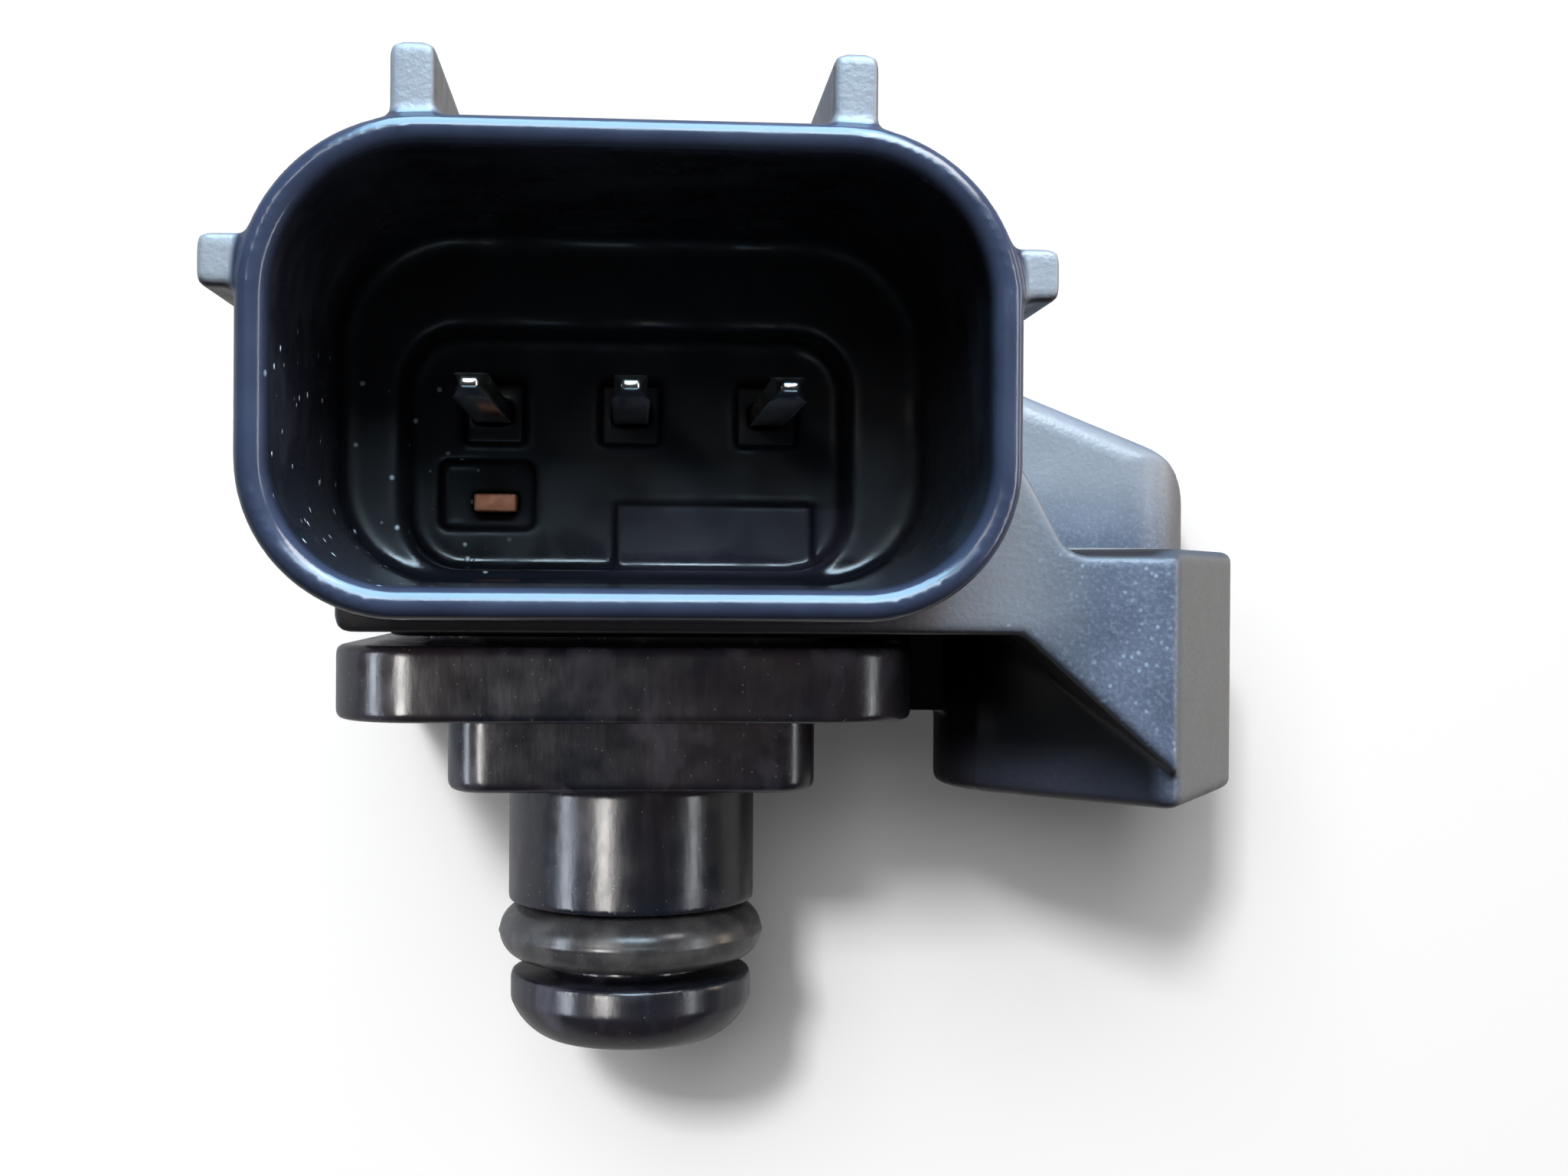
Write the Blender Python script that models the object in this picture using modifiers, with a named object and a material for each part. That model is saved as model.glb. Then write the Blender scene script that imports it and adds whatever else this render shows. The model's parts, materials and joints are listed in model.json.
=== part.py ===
"""Manifold absolute pressure sensor, one rigid assembly of separate pieces.

Frame: metres. The origin is the nozzle's axis on the mounting plane, level with the underside of the
port cover's step. +Z is up, the connector's mouth faces -Y and the bolt ear is at +X.
"""
import math

import bmesh
import bpy
from mathutils import Matrix, Vector

# Clearances
SEAT_GAP = 0.0003
FINE_GAP = 0.0001
OVERLAP = 0.0005

# Port cover: the square flange, the step under it and the nozzle
FLANGE_WIDTH = 0.0213
FLANGE_SHIFT = -0.00023
FLANGE_CORNER = 0.0032
FLANGE_LOW = 0.0029
FLANGE_THICKNESS = 0.00275
FLANGE_EDGE = 0.0003
STEP_WIDTH = 0.0140
STEP_CORNER = 0.0016
STEP_EDGE = 0.0004
SHANK_RADIUS = 0.0050
SHANK_LENGTH = 0.0050
SHANK_ROOT_FILLET = 0.0004
GROOVE_RADIUS = 0.0030
GROOVE_HEIGHT = 0.0029
TIP_RADIUS = 0.0049
TIP_BAND = 0.0011
TIP_END_RADIUS = 0.0035
TIP_ROUND = 0.0015
BORE_RADIUS = 0.0016
BORE_FUNNEL_RADIUS = 0.0030
BORE_FUNNEL_DEPTH = 0.0015
TONGUE_HEIGHT = 0.0010
TONGUE_WALL = 0.0010
TONGUE_CORNER = 0.0016
BEAD_ROOM = 0.0008

# Rubber ring
RING_SECTION = 0.0023

# Housing: lower block, body and the lip that meets the port cover
UNDERSIDE = 0.0062
LIP_WIDTH = 0.0178
LIP_WALL = 0.0010
BLOCK_LEFT = -0.0102
BLOCK_RIGHT = 0.0106
BLOCK_FRONT = -0.0127
BLOCK_CORNER = 0.0016
WALL_STEP = 0.0001
BODY_TOP = 0.0191
BODY_BACK = 0.0104
BODY_EDGE = 0.0008

# Connector shroud
MOUTH_Y = -0.0210
SHROUD_WIDTH = 0.0240
SHROUD_LOW = 0.0068
SHROUD_HIGH = 0.0221
SHROUD_TOP_RADIUS = 0.0056
SHROUD_BOTTOM_RADIUS = 0.0049
SHROUD_WALL = 0.0010
SHROUD_DRAFT = math.radians(0.5)
RIM_FILLET = 0.00045
RIM_EDGE = 0.0002
CAVITY_DEPTH = 0.0145
CAVITY_FLOOR_FILLET = 0.0005
BACK_WALL = 0.0020

# Pocket in the cavity's floor, with its shelf and the pin bosses
POCKET_X = -0.00025
POCKET_WIDTH = 0.0169
POCKET_LOW = 0.0084
POCKET_HEIGHT = 0.0091
POCKET_DEPTH = 0.0030
POCKET_CORNER = 0.0022
POCKET_FILLET = 0.00035
SHELF_HEIGHT = 0.0026
SHELF_PROUD = 0.0006
SHELF_LEFT = -0.0007
SHELF_RIGHT = 0.0070
WINDOW_WIDTH = 0.0037
WINDOW_HEIGHT = 0.0027
WINDOW_DEPTH = 0.0009
WINDOW_SHIFT = -0.0003
WINDOW_Z = 0.01135

# Keying ribs on the shroud
TOP_RIB_X = 0.00675
TOP_RIB_WIDTH = 0.0014
TOP_RIB_HEIGHT = 0.0022
SIDE_RIB_Z = 0.0176
SIDE_RIB_WIDTH = 0.00165
SIDE_RIB_HEIGHT = 0.00115
RIB_LENGTH = 0.0130
RIB_EDGE = 0.0003
RIB_FOOT = 0.0003

# Pins
PIN_PITCH = 0.0053
PIN_MIDDLE_X = -0.00013
PIN_WIDTH = 0.0013
PIN_THICKNESS = 0.0008
PIN_Z = 0.0145
PIN_TIP_BACK = 0.0052
PIN_TIP_LENGTH = 0.0009
PIN_TIP_SHARE = 0.45
PIN_BOSS_WIDTH = 0.0023
PIN_BOSS_HEIGHT = 0.0023
PIN_BOSS_LENGTH = 0.0007
TRIM_WIDTH = 0.00165
TRIM_THICKNESS = 0.0007
LEG_REACH = 0.0022

# Bolt ear, its gusset and the shoulder behind it
HOLE_X = 0.0180
HOLE_Y = -0.0030
EAR_RADIUS = 0.0059
EAR_POINT_X = 0.0192
EAR_POINT_RADIUS = 0.0006
EAR_HEIGHT = 0.0093
EAR_EDGE = 0.0003
BUSH_OUTER_RADIUS = 0.0042
BUSH_INNER_RADIUS = 0.0032
BUSH_PROUD = 0.0001
BUSH_EDGE = 0.0003
GUSSET_CORNER = 0.00045
GUSSET_FOOT = 0.0012
GUSSET_TOP = 0.0090
GUSSET_KNEE_X = 0.0137
WEB_THICKNESS = 0.0028
GUSSET_BACK = -0.0040
WEB_TOP = 0.0120
WEB_TOP_X = 0.0137
WEB_TOE_X = 0.0153
WEB_TOE_RADIUS = 0.0008
GUSSET_EDGE = 0.0003
SHOULDER_FRONT = 0.0030
SHOULDER_RIGHT = 0.0247
SHOULDER_CORNER = 0.0034
SHOULDER_BACK_CORNER = 0.0016
SHOULDER_SLOPE = math.radians(-22.5)
SHOULDER_CREST_X = 0.0103
SHOULDER_TIP_RADIUS = 0.0030
SHOULDER_EDGE = 0.0006

# Chamber and what it holds
CHAMBER_MARGIN = 0.0020
CHAMBER_FRONT = -0.0016
CHAMBER_BACK = 0.0077
CHAMBER_CORNER = 0.0012
LEDGE_WIDTH = 0.0006
BOARD_DROP = 0.0020
BOARD_THICKNESS = 0.0008
HEADROOM = 0.0038
GLASS_SIZE = 0.0022
GLASS_THICKNESS = 0.0012
CHIP_SIZE = 0.0018
CHIP_THICKNESS = 0.0004
ADHESIVE_THICKNESS = 0.0002
SENSE_Y = 0.0012
SIGNAL_SIZE = 0.0024
SIGNAL_THICKNESS = 0.0006
SIGNAL_Y = 0.0060
CAPACITOR_SIZE = (0.0020, 0.0012, 0.0010)
CAPACITOR_INSET = 0.0008
CAPACITOR_Y = 0.0055
GEL_RADIUS = 0.00295
GEL_SHIFT = 0.00035
GEL_HEIGHT = 0.0037
GEL_ROOM_LOW = 0.0007
GEL_ROOM_BACK = 0.0008
WIRE_RADIUS = 0.00008
WIRE_SPREAD = 0.0004
WIRE_FAN = 1.4
WIRE_PAD_SHARE = 0.35
WIRE_LANDING = 0.0006
WIRE_BOW = 0.0004
WIRE_SAG = 0.0005
WIRE_STEPS = 10
JOINT_WALL = 0.0004
JOINT_HEIGHT = 0.0006
JOINT_CROWN_SHARE = 0.3

# Share of a small piece's thickness that its edges lose
EDGE_SHARE = 0.1

# Steps of a corner and of a full turn, and the angle that stays a sharp edge
ARC_STEPS = 8
TURN_STEPS = 56
SHARP_ANGLE = 35


def deg(angle):
    return math.radians(angle)


def new_collection(name):
    collection = bpy.data.collections.new(name)
    bpy.context.scene.collection.children.link(collection)
    return collection


def arc(centre, radius, start, end, steps=ARC_STEPS):
    """Points along an arc, angles in degrees, both ends included."""
    points = []
    for i in range(steps + 1):
        angle = deg(start + (end - start) * i / steps)
        points.append((centre[0] + radius * math.cos(angle), centre[1] + radius * math.sin(angle)))
    return points


def rounded_rectangle(left, right, low, high, low_radius, high_radius=None):
    """Counter-clockwise outline, with its own corner radius at the bottom and at the top."""
    top = low_radius if high_radius is None else high_radius
    outline = arc((left + low_radius, low + low_radius), low_radius, 180, 270)
    outline += arc((right - low_radius, low + low_radius), low_radius, 270, 360)
    outline += arc((right - top, high - top), top, 0, 90)
    outline += arc((left + top, high - top), top, 90, 180)
    return outline


def rounded_square(width, corner):
    return rounded_rectangle(-width / 2, width / 2, -width / 2, width / 2, corner)


def finish_object(obj, collection):
    collection.objects.link(obj)
    return obj


def loft(name, rings, collection):
    """Closed solid through rings of equal count, each a list of world points."""
    mesh = bpy.data.meshes.new(name)
    bm = bmesh.new()
    loops = [[bm.verts.new(point) for point in ring] for ring in rings]
    count = len(loops[0])
    for lower, upper in zip(loops, loops[1:]):
        for i in range(count):
            j = (i + 1) % count
            bm.faces.new((lower[i], lower[j], upper[j], upper[i]))
    bm.faces.new(list(reversed(loops[0])))
    bm.faces.new(loops[-1])
    bmesh.ops.recalc_face_normals(bm, faces=bm.faces)
    bm.to_mesh(mesh)
    bm.free()
    return finish_object(bpy.data.objects.new(name, mesh), collection)


def extruded(name, outline, low, high, collection, along="Z"):
    """Flat outline as a filled 2D curve, extruded along Z or along Y, then made a mesh."""
    curve = bpy.data.curves.new(name + "_outline", "CURVE")
    curve.dimensions = "2D"
    curve.fill_mode = "BOTH"
    curve.extrude = (high - low) / 2
    spline = curve.splines.new("POLY")
    spline.points.add(len(outline) - 1)
    for point, (u, v) in zip(spline.points, outline):
        point.co = (u, v, 0.0, 1.0)
    spline.use_cyclic_u = True
    source = bpy.data.objects.new(name + "_outline", curve)
    middle = (low + high) / 2
    if along == "Y":
        source.matrix_world = Matrix.Translation((0.0, middle, 0.0)) @ Matrix.Rotation(deg(90), 4, "X")
    else:
        source.matrix_world = Matrix.Translation((0.0, 0.0, middle))
    collection.objects.link(source)
    bpy.context.view_layer.update()
    mesh = bpy.data.meshes.new_from_object(source.evaluated_get(bpy.context.evaluated_depsgraph_get()))
    mesh.name = name
    bm = bmesh.new()
    bm.from_mesh(mesh)
    bmesh.ops.remove_doubles(bm, verts=bm.verts, dist=0.000001)
    bmesh.ops.recalc_face_normals(bm, faces=bm.faces)
    bmesh.ops.dissolve_limit(bm, angle_limit=deg(0.5), verts=bm.verts, edges=bm.edges)
    bm.to_mesh(mesh)
    bm.free()
    mesh.transform(source.matrix_world)
    bpy.data.objects.remove(source)
    return finish_object(bpy.data.objects.new(name, mesh), collection)


def turned(name, profile, collection, steps=TURN_STEPS):
    """Closed profile of (radius, height) points, down its outer side first, turned about Z."""
    mesh = bpy.data.meshes.new(name)
    points = [(radius, 0.0, height) for radius, height in profile]
    edges = [(i, (i + 1) % len(points)) for i in range(len(points))]
    if profile[0][0] == 0.0 and profile[-1][0] == 0.0:
        edges.pop()
    mesh.from_pydata(points, edges, [])
    obj = finish_object(bpy.data.objects.new(name, mesh), collection)
    screw = obj.modifiers.new("Turn", "SCREW")
    screw.axis = "Z"
    screw.angle = deg(360)
    screw.steps = steps
    screw.render_steps = steps
    screw.use_merge_vertices = True
    screw.merge_threshold = 0.00001
    screw.use_smooth_shade = True
    return obj


def box(name, low, high, collection):
    mesh = bpy.data.meshes.new(name)
    bm = bmesh.new()
    bmesh.ops.create_cube(bm, size=1.0)
    centre = (Vector(low) + Vector(high)) / 2
    size = Vector(high) - Vector(low)
    bmesh.ops.scale(bm, vec=size, verts=bm.verts)
    bmesh.ops.translate(bm, vec=centre, verts=bm.verts)
    bm.to_mesh(mesh)
    bm.free()
    return finish_object(bpy.data.objects.new(name, mesh), collection)


def centred_box(name, centre, size, collection):
    half = Vector(size) / 2
    return box(name, Vector(centre) - half, Vector(centre) + half, collection)


def mark_edges(obj, test):
    """Give full bevel weight to the edges whose two ends pass the test, and none to the others."""
    weights = obj.data.attributes.new("bevel_weight_edge", "FLOAT", "EDGE")
    vertices = obj.data.vertices
    for edge in obj.data.edges:
        ends = [vertices[i].co for i in edge.vertices]
        weights.data[edge.index].value = 1.0 if test(*ends) else 0.0


def bevel_marked(obj, width, test, segments=2):
    mark_edges(obj, test)
    modifier = obj.modifiers.new("Bevel", "BEVEL")
    modifier.width = width
    modifier.segments = segments
    modifier.limit_method = "WEIGHT"
    modifier.use_clamp_overlap = True
    return modifier


def bevel(obj, width, segments=2, angle=40):
    modifier = obj.modifiers.new("Bevel", "BEVEL")
    modifier.width = width
    modifier.segments = segments
    modifier.limit_method = "ANGLE"
    modifier.angle_limit = deg(angle)
    modifier.use_clamp_overlap = True
    return modifier


def combine(obj, other, operation):
    modifier = obj.modifiers.new(operation.title() + " " + other.name, "BOOLEAN")
    modifier.operation = operation
    modifier.solver = "EXACT"
    modifier.object = other
    other.hide_render = True
    other.display_type = "WIRE"
    return modifier


def join(obj, *others):
    for other in others:
        combine(obj, other, "UNION")


def cut(obj, *others):
    for other in others:
        combine(obj, other, "DIFFERENCE")


def material(name, colour, roughness, metallic=0.0):
    made = bpy.data.materials.new(name)
    made.use_nodes = True
    shader = made.node_tree.nodes["Principled BSDF"]
    shader.inputs["Base Color"].default_value = (*colour, 1.0)
    shader.inputs["Roughness"].default_value = roughness
    shader.inputs["Metallic"].default_value = metallic
    return made


def dress(obj, made):
    obj.data.materials.clear()
    obj.data.materials.append(made)


def xz_ring(outline, y):
    return [(u, y, v) for u, v in outline]


def xy_ring(outline, z):
    return [(u, v, z) for u, v in outline]


def shroud_outline(offset):
    """The shroud's outer outline moved outward by offset; a negative one moves it in."""
    half = SHROUD_WIDTH / 2 + offset
    low_radius = SHROUD_BOTTOM_RADIUS + offset
    high_radius = SHROUD_TOP_RADIUS + offset
    low = SHROUD_LOW - offset
    high = SHROUD_HIGH + offset
    return rounded_rectangle(-half, half, low, high, low_radius, high_radius)


# Places that follow from the sizes above
EAR_POINT_Y = BLOCK_FRONT
FLANGE_TOP = FLANGE_LOW + FLANGE_THICKNESS
CAVITY_FLOOR = MOUTH_Y + CAVITY_DEPTH
POCKET_FLOOR = CAVITY_FLOOR + POCKET_DEPTH
SHROUD_END = CAVITY_FLOOR + BACK_WALL
GROOVE_TOP = -SHANK_LENGTH
GROOVE_LOW = GROOVE_TOP - GROOVE_HEIGHT
TIP_LOW = GROOVE_LOW - TIP_BAND - TIP_ROUND
LIP_LOW = FLANGE_TOP + SEAT_GAP
TONGUE_TOP = FLANGE_TOP + TONGUE_HEIGHT
RECESS_WIDTH = LIP_WIDTH - 2 * LIP_WALL
TONGUE_WIDTH = RECESS_WIDTH - 2 * SEAT_GAP
RECESS_TOP = TONGUE_TOP + BEAD_ROOM
CHAMBER_WIDTH = 2 * (PIN_PITCH + CHAMBER_MARGIN)
BOARD_TOP = PIN_Z - BOARD_DROP
LEDGE_Z = BOARD_TOP + SEAT_GAP
CHAMBER_TOP = LEDGE_Z + HEADROOM
BOARD_LOW = BOARD_TOP - BOARD_THICKNESS
BOARD_HALF = CHAMBER_WIDTH / 2 - SEAT_GAP
BOARD_FRONT = CHAMBER_FRONT + SEAT_GAP
BOARD_BACK = CHAMBER_BACK - SEAT_GAP
LEG_BACK = CHAMBER_FRONT + LEG_REACH
TRIM_Z = BOARD_LOW - SEAT_GAP - TRIM_THICKNESS / 2
PIN_ROWS = {"left": PIN_MIDDLE_X - PIN_PITCH, "middle": PIN_MIDDLE_X, "right": PIN_MIDDLE_X + PIN_PITCH}
TRIM_X = PIN_ROWS["left"]
WINDOW_X = TRIM_X + WINDOW_SHIFT


def ear_outline():
    """Round boss about the hole, drawn out to a point that faces the connector's side."""
    centre = Vector((HOLE_X, HOLE_Y))
    point = Vector((EAR_POINT_X, EAR_POINT_Y))
    reach = (point - centre).length
    heading = math.degrees(math.atan2(point.y - centre.y, point.x - centre.x))
    half = math.degrees(math.acos(EAR_RADIUS / reach))
    lean = math.degrees(math.asin(EAR_RADIUS / reach))
    tip_back = EAR_POINT_RADIUS / math.sin(deg(lean))
    tip = point + (centre - point).normalized() * tip_back
    outline = arc(tip, EAR_POINT_RADIUS, heading - half, heading + half, 4)
    outline += arc(centre, EAR_RADIUS, heading + half, heading + 360 - half, 28)
    return outline


def make_housing(parts, cutters):
    """One moulding: shroud, block, shoulder, ear, gusset and ribs, less its hollows."""
    length = SHROUD_END - MOUTH_Y
    grow = length * math.tan(SHROUD_DRAFT)
    rings = []
    for angle in (0, 30, 60, 90):
        inset = RIM_EDGE * (1 - math.sin(deg(angle)))
        step = RIM_EDGE * (1 - math.cos(deg(angle)))
        rings.append(xz_ring(shroud_outline(-inset), MOUTH_Y + step))
    rings.append(xz_ring(shroud_outline(grow), SHROUD_END))
    housing = loft("housing", rings, parts)

    front = GUSSET_BACK - BLOCK_CORNER * 2
    outline = rounded_rectangle(BLOCK_LEFT + WALL_STEP, BLOCK_RIGHT, front, BODY_BACK, BLOCK_CORNER)
    block = extruded("housing_block", outline, UNDERSIDE + WALL_STEP, BODY_TOP, cutters)
    bevel_marked(block, BODY_EDGE, lambda a, b: min(a.z, b.z) > BODY_TOP - OVERLAP)
    outline = rounded_square(LIP_WIDTH, TONGUE_CORNER)
    lip = extruded("housing_lip", outline, LIP_LOW, UNDERSIDE + OVERLAP, cutters)

    shoulder = make_shoulder(cutters)
    ear = extruded("ear_boss", ear_outline(), 0.0, EAR_HEIGHT, cutters)
    bevel(ear, EAR_EDGE, 2, 50)
    low = (BLOCK_RIGHT - OVERLAP, GUSSET_BACK - OVERLAP, UNDERSIDE + 2 * WALL_STEP)
    high = (HOLE_X - BUSH_OUTER_RADIUS, SHOULDER_FRONT + OVERLAP, GUSSET_TOP - 2 * WALL_STEP)
    plate = box("ear_plate", low, high, cutters)
    join(housing, block, lip, shoulder, ear, plate, *make_gusset(cutters))
    join(housing, *make_ribs(cutters))

    cavity = make_cavity(cutters)
    pocket = make_pocket(cutters)
    cut(housing, cavity, pocket)
    join(housing, *make_pocket_details(cutters))
    cut(housing, *make_terminal_slots(cutters))
    cut(housing, *make_chamber(cutters))
    radius = BUSH_OUTER_RADIUS + FINE_GAP
    bore = turned_cylinder("bush_bore", radius, -OVERLAP, EAR_HEIGHT + OVERLAP, cutters)
    bore.location = (HOLE_X, HOLE_Y, 0.0)
    cut(housing, bore)
    return housing


def turned_cylinder(name, radius, low, high, collection, steps=TURN_STEPS):
    return turned(name, [(0.0, high), (radius, high), (radius, low), (0.0, low)], collection, steps)


def make_shoulder(cutters):
    """The sloping shoulder: its plan with round right corners, met with its front profile."""
    left = 0.0
    low = UNDERSIDE + 3 * WALL_STEP
    back = BODY_BACK - BODY_EDGE
    right = SHOULDER_RIGHT
    plan = [(left, SHOULDER_FRONT)]
    plan += arc((right - SHOULDER_CORNER, SHOULDER_FRONT + SHOULDER_CORNER), SHOULDER_CORNER, 270, 360)
    plan += arc((right - SHOULDER_BACK_CORNER, back - SHOULDER_BACK_CORNER), SHOULDER_BACK_CORNER, 0, 90)
    plan.append((left, back))
    shoulder = extruded("shoulder_plan", plan, low, BODY_TOP + OVERLAP, cutters)
    crest = BODY_TOP - BODY_EDGE / 2
    radius = SHOULDER_TIP_RADIUS
    centre_x = right - radius
    fall = (centre_x - SHOULDER_CREST_X) * math.tan(SHOULDER_SLOPE)
    centre_z = crest + fall - radius / math.cos(SHOULDER_SLOPE)
    front = [(left - OVERLAP, low - OVERLAP), (right + OVERLAP, low - OVERLAP), (right + OVERLAP, centre_z)]
    front += arc((centre_x, centre_z), radius, 0, 90 + math.degrees(SHOULDER_SLOPE))
    front += [(SHOULDER_CREST_X, crest), (left - OVERLAP, crest)]
    profile = extruded("shoulder_profile", front, SHOULDER_FRONT - OVERLAP, back + OVERLAP, cutters, "Y")
    combine(shoulder, profile, "INTERSECT")
    bevel(shoulder, SHOULDER_EDGE, 2, 50)
    return shoulder


def toe_fillet(foot):
    """Arc that eases the web's leaning edge into the flat top at its foot."""
    lean = math.degrees(math.atan2(WEB_TOP - foot, WEB_TOP_X - WEB_TOE_X))
    reach = WEB_TOE_RADIUS / math.tan(deg(lean / 2))
    return arc((WEB_TOE_X + reach, foot + WEB_TOE_RADIUS), WEB_TOE_RADIUS, 270, 90 + lean, 5)


def gusset_outline(inset, web):
    """Front profile of the slab under the shroud, with the gusset's slanted underside at the right."""
    right = EAR_POINT_X + WALL_STEP - inset
    left = BLOCK_LEFT + inset
    low = UNDERSIDE + inset
    top = GUSSET_TOP - inset
    outline = arc((left + GUSSET_CORNER, low + GUSSET_CORNER), GUSSET_CORNER, 180, 270, 3)
    outline += [(GUSSET_KNEE_X, low), (right, GUSSET_FOOT + inset), (right, top)]
    if web:
        outline += toe_fillet(top) + [(WEB_TOP_X, WEB_TOP), (left, WEB_TOP)]
    else:
        outline.append((left, top))
    return outline


def make_gusset(cutters):
    """The slab under the shroud: a front web that rises beside the shroud, and the gusset behind it."""
    web_back = BLOCK_FRONT + WEB_THICKNESS
    web = extruded("gusset_web", gusset_outline(0.0, True), BLOCK_FRONT, web_back, cutters, "Y")
    front_edge = BLOCK_FRONT + OVERLAP
    low_edge = UNDERSIDE + WALL_STEP
    bevel_marked(web, GUSSET_EDGE, lambda a, b: max(a.y, b.y) < front_edge and max(a.z, b.z) < low_edge)
    outline = gusset_outline(WALL_STEP / 2, False)
    gusset = extruded("gusset", outline, web_back - OVERLAP, GUSSET_BACK, cutters, "Y")
    return web, gusset


def corner_drop(reach):
    """How far the shroud's top corner has fallen away at that distance past its centre."""
    return SHROUD_TOP_RADIUS - math.sqrt(SHROUD_TOP_RADIUS ** 2 - reach ** 2)


def rib_profile(width, height, drop):
    """Upright rib on the line v = 0: flared feet, the one at +u set down by drop, and round top edges."""
    half = width / 2
    crown = arc((half - RIB_EDGE, height - RIB_EDGE), RIB_EDGE, 0, 90, 3)
    sides = []
    for fall in (drop, 0.0):
        flare = arc((half + RIB_FOOT, RIB_FOOT - fall), RIB_FOOT, 270, 180, 3)
        sides.append([(half + RIB_FOOT, -OVERLAP - fall)] + flare + crown)
    return sides[0] + [(-u, v) for u, v in reversed(sides[1])]


def make_ribs(cutters):
    """Two keying ribs on top of the shroud and one on each side."""
    front = MOUTH_Y + RIM_EDGE
    back = front + RIB_LENGTH
    straight = SHROUD_WIDTH / 2 - SHROUD_TOP_RADIUS
    top_drop = corner_drop(TOP_RIB_X + TOP_RIB_WIDTH / 2 + RIB_FOOT - straight)
    top_profile = rib_profile(TOP_RIB_WIDTH, TOP_RIB_HEIGHT, top_drop)
    corner_z = SHROUD_HIGH - SHROUD_TOP_RADIUS
    side_drop = corner_drop(SIDE_RIB_Z + SIDE_RIB_WIDTH / 2 + RIB_FOOT - corner_z)
    side_profile = rib_profile(SIDE_RIB_WIDTH, SIDE_RIB_HEIGHT, side_drop)
    ribs = []
    for side, sign in (("left", -1), ("right", 1)):
        shape = [(sign * (TOP_RIB_X + u), SHROUD_HIGH + v) for u, v in top_profile]
        ribs.append(extruded("top_rib_" + side, shape, front, back, cutters, "Y"))
        shape = [(sign * (SHROUD_WIDTH / 2 + v), SIDE_RIB_Z + u) for u, v in side_profile]
        ribs.append(extruded("side_rib_" + side, shape, front, back, cutters, "Y"))
    for rib in ribs:
        bevel_marked(rib, RIM_EDGE, lambda a, b: max(a.y, b.y) < front + OVERLAP)
    return ribs


def flared_rings(outline_at, mouth_y, floor_y, draft, mouth_fillet, floor_fillet):
    """Rings of a drafted hollow: round lip at the mouth, round edge at the floor."""
    rings = [xz_ring(outline_at(mouth_fillet), mouth_y - OVERLAP)]
    for angle in (0, 22, 45, 67, 90):
        flare = mouth_fillet * (1 - math.sin(deg(angle)))
        rings.append(xz_ring(outline_at(flare), mouth_y + mouth_fillet * (1 - math.cos(deg(angle)))))
    narrow = (floor_y - mouth_y - mouth_fillet) * math.tan(draft)
    for angle in (0, 45, 90):
        shrink = narrow + floor_fillet * (1 - math.cos(deg(angle)))
        rings.append(xz_ring(outline_at(-shrink), floor_y - floor_fillet * (1 - math.sin(deg(angle)))))
    return rings


def make_cavity(cutters):
    def outline_at(offset):
        return shroud_outline(offset - SHROUD_WALL)
    rings = flared_rings(outline_at, MOUTH_Y, CAVITY_FLOOR, SHROUD_DRAFT, RIM_FILLET, CAVITY_FLOOR_FILLET)
    return loft("connector_cavity", rings, cutters)


def make_pocket(cutters):
    def outline_at(offset):
        half = POCKET_WIDTH / 2 + offset
        low = POCKET_LOW - offset
        high = POCKET_LOW + POCKET_HEIGHT + offset
        return rounded_rectangle(POCKET_X - half, POCKET_X + half, low, high, POCKET_CORNER + offset)
    rings = flared_rings(outline_at, CAVITY_FLOOR, POCKET_FLOOR, SHROUD_DRAFT, POCKET_FILLET, POCKET_FILLET)
    return loft("floor_pocket", rings, cutters)


def make_pocket_details(cutters):
    """The raised shelf low in the pocket and a square boss round each pin."""
    low = (SHELF_LEFT, POCKET_FLOOR - SHELF_PROUD, POCKET_LOW - OVERLAP)
    high = (SHELF_RIGHT, POCKET_FLOOR + OVERLAP, POCKET_LOW + SHELF_HEIGHT)
    details = [box("pocket_shelf", low, high, cutters)]
    for side, x in PIN_ROWS.items():
        centre = (x, POCKET_FLOOR - PIN_BOSS_LENGTH / 2 + OVERLAP / 2, PIN_Z)
        size = (PIN_BOSS_WIDTH, PIN_BOSS_LENGTH + OVERLAP, PIN_BOSS_HEIGHT)
        details.append(centred_box("pin_boss_" + side, centre, size, cutters))
    return details


def make_terminal_slots(cutters):
    """Slots for the three pins and the copper strip, and the window in front of the strip."""
    slots = []
    front = POCKET_FLOOR - PIN_BOSS_LENGTH - OVERLAP
    back = CHAMBER_FRONT + OVERLAP
    for side, x in PIN_ROWS.items():
        centre = (x, (front + back) / 2, PIN_Z)
        size = (PIN_WIDTH + 2 * FINE_GAP, back - front, PIN_THICKNESS + 2 * FINE_GAP)
        slots.append(centred_box("pin_slot_" + side, centre, size, cutters))
    low = (WINDOW_X - WINDOW_WIDTH / 2, POCKET_FLOOR - OVERLAP, WINDOW_Z - WINDOW_HEIGHT / 2)
    high = (WINDOW_X + WINDOW_WIDTH / 2, POCKET_FLOOR + WINDOW_DEPTH, WINDOW_Z + WINDOW_HEIGHT / 2)
    window = box("terminal_window", low, high, cutters)
    bevel(window, RIB_EDGE, 2)
    slots.append(window)
    centre = (TRIM_X, (POCKET_FLOOR + back) / 2, TRIM_Z)
    size = (TRIM_WIDTH + 2 * FINE_GAP, back - POCKET_FLOOR, TRIM_THICKNESS + 2 * FINE_GAP)
    slots.append(centred_box("trim_slot", centre, size, cutters))
    return slots


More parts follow.
